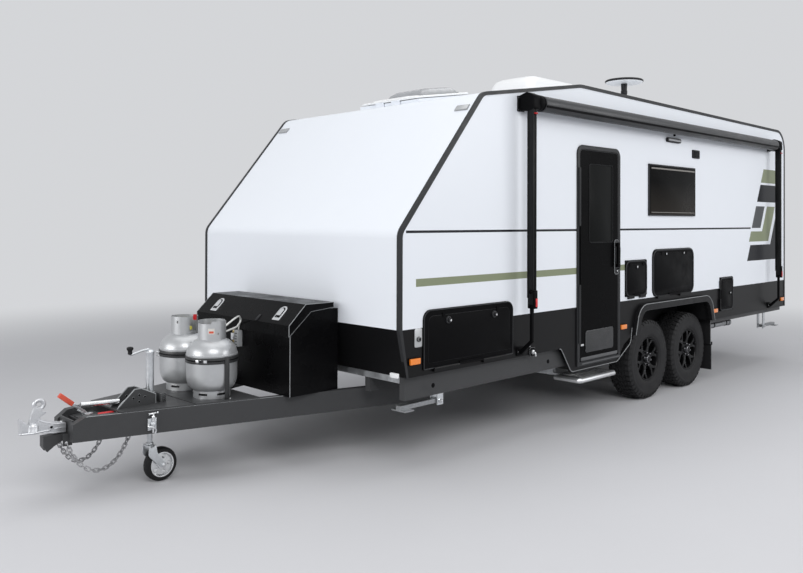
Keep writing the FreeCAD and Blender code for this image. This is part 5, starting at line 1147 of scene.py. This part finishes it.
def make_entry():
    door = Shape()
    x0, x1, z0, z1 = DOOR_FRONT, DOOR_REAR, 0.5, 2.383
    leaf = pane(x0 + 0.032, x1 - 0.032, z0 + 0.032, z1 - 0.032, 0.045, 8)
    band(door, leaf, NEAR, 0.007, 0.0036, "mould")
    band(door, pane(2.298, 2.68, 1.548, 2.232, 0.025), NEAR, 0.0075, 0.006, "satin")
    vent = pane(2.239, 2.69, 0.599, 0.787, 0.022)
    wall_prism(door, vent, NEAR, 0.0078, 0.012, "vent")
    for k in range(9):
        z = 0.618 + 0.0185 * k
        wall_prism(door, pane(2.262, 2.668, z, z + 0.0085, 0.003), NEAR, 0.0115, 0.014, "vent")
    # Pale tube along the vent's front and top edges: a painted highlight
    rim = ((2.241, 0.61), (2.241, 0.77), (2.258, 0.786), (2.672, 0.786))
    door.tube([wall(NEAR, x, z, 0.012) for x, z in rim], 0.0026, "edge", 8)
    wall_prism(door, pane(2.169, 2.762, 0.536, 0.564, 0.006), NEAR, 0.0078, 0.011, "kick")
    at = wall(NEAR, 2.752, 1.285, 0.008)
    door.turn(at, (0, -1, 0), [(0, 0.015), (0.006, 0.015), (0.008, 0.013)], 28, "satin")
    door.turn(at, (0, -1, 0), [(0.007, 0.009), (0.0095, 0.0085)], 20, "zinc")
    wall_prism(door, pane(2.722, 2.778, 1.262, 1.56, 0.02), NEAR, 0.0078, 0.0115, "mould")
    door.make("door_details", "entry_door", bevel=0.001)
    surround = Shape()
    outer = pane(x0 - 0.004, x1 + 0.004, z0 - 0.004, z1 + 0.004, 0.07, 8, 0.074)
    band(surround, outer, NEAR, 0.0095, 0.0042, "mould")
    wall_prism(surround, pane(2.178, 2.798, 0.504, 0.516, 0.003), NEAR, 0.0118, 0.015, "kick")
    surround.make("door_frame_bead")
    fittings = Shape()
    wall_prism(fittings, pane(0.14, 0.212, 0.872, 0.999, 0.012), NEAR, 0.0, 0.006, "pale")
    fittings.turn(wall(NEAR, 0.178, 0.926, 0.006), (0, -1, 0),
                  [(0, 0.019), (0.01, 0.0175), (0.013, 0.013)], 24, "black")
    wall_prism(fittings, pane(1.44, 1.506, 0.66, 0.728, 0.01), NEAR, 0.0, 0.01, "satin")
    fittings.turn(wall(NEAR, 1.473, 0.694, 0.01), (0, -1, 0),
                  [(0, 0.019), (0.012, 0.0175), (0.014, 0.013)], 24, "alu")
    spout = ((1.473, 0.694, 0.02), (1.473, 0.688, 0.036), (1.474, 0.662, 0.04))
    fittings.tube(smooth([wall(NEAR, *row) for row in spout], 5), 0.0075, "zinc", 10)
    wall_prism(fittings, pane(1.415, 1.445, 0.737, 0.752, 0.004), NEAR, 0.0, 0.012, "zinc")
    fittings.make("wall_fittings", bevel=0.001)
    catch = Shape()
    wall_prism(catch, pane(2.16, 2.205, 0.664, 0.68, 0.003), NEAR, 0.0078, 0.016, "zinc")
    catch.make("door_catch", "entry_door", bevel=0.001)


def make_beads():
    """Beads round the wheel arches, each with a pale tube outside it as a painted highlight, and a
    painted highlight along the lower edge by the entry door.
    """
    for side, name in ((NEAR, "near"), (FAR, "far")):
        bead = Shape()
        # The pale outer tube is a painted highlight on the arch's edge; the dark one is the bead
        for grow, radius, look in ((0.058, 0.0032, "edge"), (0.0, 0.0026, "mould")):
            bead.tube([wall(side, a, b, 0.0362) for a, b in arch_line(grow)], radius, look, 8)
        bead.make("arch_bead_and_highlight_" + name)
    # Pale tube along the lower edge by the entry door: a painted highlight
    low = Shape()
    apron = rounded([(1.668, 0.672, 0), (1.883, 0.672, 0.04), (2.033, 0.46, 0.06),
                     (DOOR_REAR - 0.03, 0.46, 0.08), (3.02, 0.606, 0.08), (3.04, 0.74, 0)])
    low.tube([wall(NEAR, a, b, 0.0015) for a, b in apron[1:]], 0.003, "edge", 8)
    low.make("apron_highlight")


def arch_line(grow):
    """Edge of the wheel opening in a side wall, widened by grow."""
    front, rear, top, slant, soft = 3.105 - grow, 4.69 + grow, 0.89 + grow, 0.085, 0.12 + grow
    foot, low = 0.64, 0.672
    part = slant * (low - foot) / (top - foot)
    return rounded([(front + part, low, 0), (front + slant, top, soft), (rear - slant, top, soft),
                    (rear - part, low, 0)], 10)


for end, out in (("near", NEAR), ("far", FAR)):
    make_boot(out, "boot_door_" + end, "boot_trim_" + end)
make_locker("table_locker_door", "table_trim", 0.075, ((3.685, 1.415), (4.059, 1.415)))
make_locker("small_locker_door", "small_trim", 0.06, ((3.117, 1.307),))
make_locker("rear_locker_door", "rear_trim", 0.04, ((5.184, 0.94),))
make_entry()
make_beads()


# Windows: dark panes with the pale edges of a blind at top and foot
def make_windows():
    panes = Shape()
    blinds = Shape()
    for side, *box in ((NEAR, 3.342, 4.313, 1.79, 2.29), (FAR, 3.342, 4.313, 1.79, 2.29),
                       (FAR, 0.7, 1.32, 1.85, 2.25), (FAR, 4.65, 5.45, 1.79, 2.29)):
        x0, x1, z0, z1 = box
        wall_prism(panes, inset(box, 0.012, 0.004), side, 0.0164, 0.0214, "window")
        for low, high in ((z1 - 0.046, z1 - 0.032), (z0 + 0.03, z0 + 0.036)):
            wall_prism(blinds, pane(x0 + 0.03, x1 - 0.03, low, high, 0.002), side, 0.021, 0.0222,
                       "blind")
        band(blinds, inset(box, 0.004, 0.01), side, 0.015, 0.003, "mould")
    panes.make("window_glass", "caravan", ("window_panes",), bevel=0.0015)
    blinds.make("window_trim")


make_windows()


# Lamps
def lamp_block(shape, x0, x1, z0, z1, side, out, look):
    """Side lamp: a dark base under a lens."""
    box = x0, x1, z0, z1
    wall_prism(shape, inset(box, 0, 0.008), side, 0.0, out * 0.45, "satin")
    wall_prism(shape, inset(box, 0.005, 0.007), side, out * 0.4, out, look)


def make_lamps():
    lamp = Shape()
    for side in (NEAR, FAR):
        for x, rise in ((0.082, 0.014), (2.818, 0.0), (4.748, 0.0), (6.672, 0.0)):
            lamp_block(lamp, x, x + 0.11, 0.74 + rise, 0.792 + rise, side, 0.018, "amber")
        y = side * 1.06
        for k, look in enumerate(("red", "amber", "red")):
            z = 1.08 + 0.14 * k
            low, high = z, z + 0.139
            outline = rounded([(y - 0.045, low, 0.01), (y + 0.045, low, 0.01),
                               (y + 0.045, high, 0.01), (y - 0.045, high, 0.01)], 4)
            lamp.prism(outline, "x", BODY_LENGTH, BODY_LENGTH + 0.024, look)
        rise = Vector((0.86, 0, 1.035))
        lift = Vector((-rise.z, 0, rise.x)).normalized()
        corner = Vector((0, side * (HALF - 0.115) - 0.062, 1.656)) + rise * 0.868
        lamp.slab(corner, (0, 0.124, 0), rise.normalized() * 0.052, lift * 0.01, "pale")
    wall_prism(lamp, pane(3.697, 3.985, 2.526, 2.572, 0.022, 10), NEAR, 0.0, 0.022, "dark")
    wall_prism(lamp, pane(3.712, 3.97, 2.537, 2.561, 0.011, 10), NEAR, 0.021, 0.029, "smoke")
    wall_prism(lamp, pane(4.266, 4.42, 2.396, 2.482, 0.008), NEAR, 0.0, 0.014, "dark")
    for k in range(5):
        z = 2.408 + 0.0135 * k
        wall_prism(lamp, pane(4.284, 4.406, z, z + 0.0065, 0.001), NEAR, 0.013, 0.022, "mould")
    for k in range(3):
        x = 4.306 + 0.036 * k
        wall_prism(lamp, pane(x, x + 0.004, 2.406, 2.472, 0.001), NEAR, 0.013, 0.0235, "mould")
    lamp.turn((3.87, NEAR * HALF, 2.606), (0, -1, 0), [(0, 0.015), (0.012, 0.014)], 20, "black")
    lamp.make("lamp_set", "caravan", ("lamps",), bevel=0.0018)
    refl = Shape()
    for side in (NEAR, FAR):
        refl.prism(pane(side * 1.148, side * 1.222, 0.682, 0.713, 0.004, 4), "x", -0.015, 0.001,
                   "plastic")
    refl.make("front_reflector", bevel=0.001)


make_lamps()


# Awning: a roller between two heads, with folded arms that stand off from the wall
def bolt_head(shape, x, z):
    """Bolt through a plate on the near wall."""
    shape.turn(wall(NEAR, x, z, 0.01), (0, -1, 0), [(0, 0.008), (0.004, 0.007)], 6, "zinc")


def make_awning():
    y = NEAR * (HALF + 0.105)
    z = 2.655
    x0, x1 = 1.372, 6.29
    face, foot, plate = [NEAR * (HALF + out) for out in (0, 0.008, 0.01)]
    roll = Shape()
    for way, x in ((1, x0), (-1, x1)):
        roll.turn((x, y, z), (way, 0, 0), [(-0.004, 0.056), (0.004, 0.062), (0.012, 0.0645),
                (0.04, 0.0645), (0.044, 0.06), (0.052, 0.06), (0.056, 0.064), (0.066, 0.064),
                (0.07, 0.058), (0.08, 0.058)], 48, "satin")
        roll.turn((x, y, z), (-way, 0, 0), [(-0.002, 0.024), (0.006, 0.023), (0.01, 0.016)], 24,
                  "zinc")
    roll.turn((x0 + 0.074, y, z), (1, 0, 0), [(0, 0.057), (0.004, 0.0605), (0.01, 0.0628),
            (x1 - x0 - 0.158, 0.0628), (x1 - x0 - 0.152, 0.0605), (x1 - x0 - 0.148, 0.057)], 72,
            "roller")
    roll.box(x0 + 0.076, x1 - 0.076, y - 0.064, y - 0.056, z - 0.034, z - 0.016, "satin")
    roll.box(x0 + 0.076, x1 - 0.076, y + 0.01, NEAR * (HALF + 0.002), z + 0.058, z + 0.061,
             "roller")
    roll.box(x0 + 0.04, x1 - 0.04, NEAR * (HALF + 0.012), face, z + 0.05, z + 0.07, "satin")
    for a, way in ((1.292, 1), (6.34, -1)):
        b = a + way * 0.045
        inner, outer = NEAR * (HALF + 0.105), NEAR * (HALF + 0.146)
        low, high = sorted((a, b))
        roll.prism([(low, inner), (high, inner), (high, outer), (high - 0.01, outer),
                    (high - 0.014, outer + 0.008), (low + 0.014, outer + 0.008),
                    (low + 0.01, outer), (low, outer)], "z", 1.09, 2.64, "arm")
        roll.box(low + 0.004, high - 0.004, inner + 0.004, inner + 0.02, 1.14, 2.6, "arm")
        head = rounded([(foot, 2.6, 0.004), (foot, 2.712, 0.01), (y + 0.02, 2.735, 0.03),
                        (y - 0.05, 2.706, 0.04), (y - 0.052, 2.6, 0.02), (y + 0.01, 2.586, 0.02)], 5)
        roll.prism(head, "x", *sorted((a - way * 0.002, a + way * 0.078)), "satin")
        plate0, plate1 = (1.277, 1.362) if way > 0 else (6.268, 6.355)
        roll.box(plate0, plate1, plate, face, 2.592, 2.712, "arm")
        for dz in (2.606, 2.698):
            bolt_head(roll, a - way * 0.004, dz)
        middle_x = (a + b) / 2
        roll.box(middle_x - 0.02, middle_x + 0.02, outer - 0.012, inner + 0.012, 1.06, 1.2,
                 "satin")
        roll.turn((middle_x - way * 0.02, (inner + outer) / 2, 1.19), (-way, 0, 0),
                  [(-0.002, 0.017), (0.014, 0.0165), (0.018, 0.013)], 20, "black")
        roll.box(middle_x - 0.006, middle_x + 0.02, outer - 0.0145, outer - 0.01, 1.072, 1.14,
                 "tag")
        roll.box(middle_x - 0.004, middle_x + 0.02, outer - 0.012, outer + 0.01, 2.56, 2.572,
                 "tag")
        roll.prism([(inner - 0.002, 1.1), (inner - 0.026, 1.1), (inner - 0.026, 0.8),
                    (NEAR * (HALF + 0.03), 0.7), (foot, 0.7),
                    (foot, 0.724), (inner - 0.002, 0.812)],
                   "x", middle_x - 0.012, middle_x + 0.012, "satin")
        roll.box(middle_x - 0.042, middle_x + 0.042, plate, face, 0.684, 0.752, "satin")
        for dx in (-0.028, 0.028):
            bolt_head(roll, middle_x + dx, 0.718)
    roll.make("awning_roll", "caravan", ("awning",), bevel=0.0022)


make_awning()


# Roof: cooler, hatch and aerial
def plan(x0, x1, y0, y1, z, radius):
    """Level outline of a roof piece."""
    return [(a, b, z) for a, b in pane(x0, x1, y0, y1, radius, 8)]


def make_cooler():
    cover = Shape()
    rows = [(2.622, 3.596, -0.383, 0.213, 2.88, 0.1), (2.612, 3.6, -0.385, 0.215, 2.905, 0.1),
            (2.616, 3.598, -0.384, 0.214, 2.955, 0.1), (2.636, 3.587, -0.376, 0.205, 3.04, 0.1),
            (2.662, 3.568, -0.362, 0.19, 3.11, 0.096), (2.696, 3.536, -0.338, 0.166, 3.155, 0.09),
            (2.744, 3.486, -0.3, 0.128, 3.179, 0.08), (2.82, 3.41, -0.236, 0.064, 3.189, 0.06),
            (2.94, 3.3, -0.14, -0.03, 3.192, 0.03)]
    cover.loft([plan(*row) for row in rows], "gloss_white")
    cover.make("cooler_cover", "caravan", ("air_conditioner",))
    vents = Shape()
    vents.loft([plan(2.608, 3.604, -0.389, 0.219, z, 0.1) for z in (2.888, 2.899)], "mould")
    for y, out in ((-0.3855, -1), (0.2155, 1)):
        for k in range(4):
            z = 2.925 + 0.02 * k
            edge = y - out * 0.0016 * k
            vents.box(3.22, 3.48, edge - 0.002, edge + 0.002, z, z + 0.008, "grey")
    for k in range(5):
        z = 2.925 + 0.022 * k
        edge = 3.6 - 0.0018 * k
        vents.box(edge - 0.002, edge + 0.002, -0.29, 0.12, z, z + 0.009, "grey")
    vents.make("cooler_vents", bevel=0.001)


# The hatch lies on the part of the roof that rises by 0.214 over 1.312
HATCH_FOOT = Vector((1.06, 0, 2.691 + 0.2 * 0.214 / 1.312))
HATCH_UP = Vector((1.312, 0, 0.214)).normalized()
HATCH_OUT = Vector((-HATCH_UP.z, 0, HATCH_UP.x))


def on_roof(a, b, c):
    """A place by the hatch: along the slope, across and out from it."""
    return HATCH_FOOT + HATCH_UP * a + Vector((0, b, 0)) + HATCH_OUT * c


def hatch_ring(a0, a1, half, c, radius):
    """Outline level with the slope, at height c above it."""
    return [on_roof(a, b, c) for a, b in pane(a0, a1, -half, half, radius, 8)]


def make_hatch():
    lid = Shape()
    # Rings as front, rear, half width, height and corner radius
    flange = ((0.002, 0.678, 0.373, 0.04, 0.058), (0.0, 0.68, 0.375, 0.044, 0.06),
              (0.0, 0.68, 0.375, 0.053, 0.06), (0.006, 0.674, 0.369, 0.058, 0.056),
              (0.18, 0.666, 0.28, 0.062, 0.05))
    hood = ((0.02, 0.19, 0.23, 0.056, 0.03), (0.028, 0.184, 0.224, 0.068, 0.028),
            (0.05, 0.17, 0.206, 0.071, 0.024))
    for rows in (flange, hood):
        lid.loft([hatch_ring(*row) for row in rows], "gloss_white")
    dome = Shape()
    rows = ((0.206, 0.668, 0.262, 0.059, 0.05), (0.204, 0.67, 0.264, 0.066, 0.052),
            (0.216, 0.664, 0.254, 0.07, 0.052), (0.222, 0.66, 0.248, 0.086, 0.056),
            (0.236, 0.652, 0.236, 0.103, 0.062), (0.262, 0.634, 0.213, 0.117, 0.066),
            (0.3, 0.604, 0.18, 0.126, 0.066), (0.36, 0.55, 0.12, 0.131, 0.06))
    dome.loft([hatch_ring(*row) for row in rows], "smoke")
    ridge = Shape()
    for b in (-0.15, -0.05, 0.05, 0.15):
        ridge.tube([on_roof(0.226, b, 0.088), on_roof(0.262, b, 0.118), on_roof(0.33, b, 0.1285)],
                   0.0035, "smoke", 8)
    for b in (-0.262, 0.262):
        ridge.tube([on_roof(0.24, b, 0.07), on_roof(0.64, b, 0.07)], 0.0045, "grey", 8)
    lid.make("hatch_flange", "hatch_lid", ("hatch_lid",))
    dome.make("hatch_dome", "hatch_lid")
    ridge.make("hatch_ridges", "hatch_lid")


def make_aerial():
    x, y = 3.95, -0.62
    z = 2.893
    disc = Shape()
    disc.turn((x, y, z), UP, [(0.312, 0.025), (0.313, 0.16), (0.318, 0.185), (0.328, 0.196)], 72,
            "gloss_white")
    disc.turn((x, y, z), UP, [(0.326, 0.194), (0.33, 0.199), (0.338, 0.2), (0.345, 0.198),
            (0.351, 0.19), (0.358, 0.15), (0.363, 0.09), (0.365, 0.02)], 72, "dark")
    disc.make("aerial_disc", "caravan", ("antenna",))
    stem = Shape()
    stem.turn((x, y, z), UP, [(-0.012, 0.056), (0.006, 0.056), (0.012, 0.05), (0.016, 0.036),
            (0.2, 0.03), (0.205, 0.034), (0.235, 0.034), (0.24, 0.03), (0.312, 0.033)], 40, "dark")
    for turn in turns(4):
        at = x + 0.047 * math.cos(turn + TAU / 8), y + 0.047 * math.sin(turn + TAU / 8), z + 0.006
        stem.turn(at, UP, [(0, 0.006), (0.008, 0.005)], 6, "zinc")
    stem.make("aerial_stem")


make_cooler()
make_hatch()
make_aerial()


# Door glass, flush with the leaf, and the grip beside it
def make_door_glass():
    glass = Shape()
    wall_prism(glass, pane(2.3, 2.678, 1.55, 2.23, 0.018), NEAR, 0.002, 0.0086, "glass")
    glass.make("door_glass", "entry_door", ("entry_glass",), bevel=0.001)
    grip = Shape()
    bow = ((1.3, 0.012), (1.318, 0.03), (1.4, 0.03), (1.5, 0.03), (1.545, 0.012))
    grip.tube(smooth([wall(NEAR, 2.772, *row) for row in bow], 5), 0.006, "mould", 10)
    # Pale bead round the grip plate: a painted highlight
    band(grip, pane(2.716, 2.784, 1.256, 1.566, 0.022), NEAR, 0.01, 0.0025, "edge")
    grip.make("door_grip", "entry_door")


make_door_glass()


# Below the floor: step, mud flaps, waste pipe and beams
def make_under():
    step = Shape()
    x0, x1, y0, y1 = 2.07, 2.63, NEAR * 1.285, NEAR * 1.035
    edge = ((x0 + 0.004, y1), (x0 + 0.004, y0 + 0.012), (x0 + 0.016, y0), (x1 - 0.016, y0),
            (x1 - 0.004, y0 + 0.012), (x1 - 0.004, y1))
    step.tube([(x, y, 0.385) for x, y in edge], 0.0205, "alu", 12)
    step.box(x0 + 0.02, x1 - 0.02, y0 + 0.018, y1, 0.399, 0.4075, "satin")
    for k in range(9):
        y = y0 + 0.036 + 0.024 * k
        step.box(x0 + 0.036, x1 - 0.036, y, y + 0.008, 0.407, 0.4095, "dark")
    step.make("step_tread", "step", bevel=0.001)
    flap = Shape()
    for side in (NEAR, FAR):
        inner, outer = side * 0.905, side * 1.19
        flap.box(4.8, 4.808, inner, outer, 0.122, 0.41, "rubber")
        outline = [(4.804, inner, 0.122), (4.804, outer, 0.122), (4.804, outer, 0.41),
                   (4.804, inner, 0.41)]
        flap.tube(outline, 0.0046, "grey", 8, closed=True)
        flap.box(4.796, 4.812, inner, side * 1.2, 0.39, 0.424, "dark")
        flap.box(4.77, 4.776, side * 0.96, side * 1.196, 0.4, 0.7, "rubber")
        flap.tube([(4.773, side * 1.196, 0.4), (4.773, side * 1.196, 0.7)], 0.0045, "grey", 8)
        for k in range(4):
            y = side * (0.94 + 0.075 * k)
            flap.turn((4.812, y, 0.407), (1, 0, 0), [(0, 0.0075), (0.005, 0.0065)], 6, "zinc")
    flap.make("flap_sheets", "caravan", ("mud_flaps",), bevel=0.001)
    pipe = Shape()
    pipe.turn((4.99, -1.06, 0.565), (1, 0, 0), [(0, 0.0325), (0, 0.0336), (0.515, 0.0336),
            (0.515, 0.039), (0.519, 0.04), (0.55, 0.04), (0.556, 0.036), (0.558, 0.02),
            (0.558, 0.001)], 48, "leg")
    for x in (5.1, 5.42):
        pipe.turn((x, -1.06, 0.565), (1, 0, 0), [(0, 0.033), (0, 0.0365), (0.02, 0.0365),
                (0.02, 0.033)], 40, "satin", loop=True)
    pipe.make("waste_pipe_sleeve")
    beam = Shape()
    for side in (NEAR, FAR):
        for x in (0.33, 1.7):
            beam.turn(wall(side, x, 0.59, 0.0005), (0, side, 0),
                      [(-0.002, 0.017), (0.0008, 0.0165)], 28, "satin")
    for side in (NEAR, FAR):
        for x in (0.47, 6.33):
            at = Vector((x, side * 1.128, 0.455))
            beam.turn(at + Vector((0, side * 0.04, 0)), (0, side, 0),
                      [(-0.006, 0.017), (0.006, 0.016), (0.014, 0.012)], 6, "zinc")
    beam.make("beam_details", bevel=0.001)


make_under()
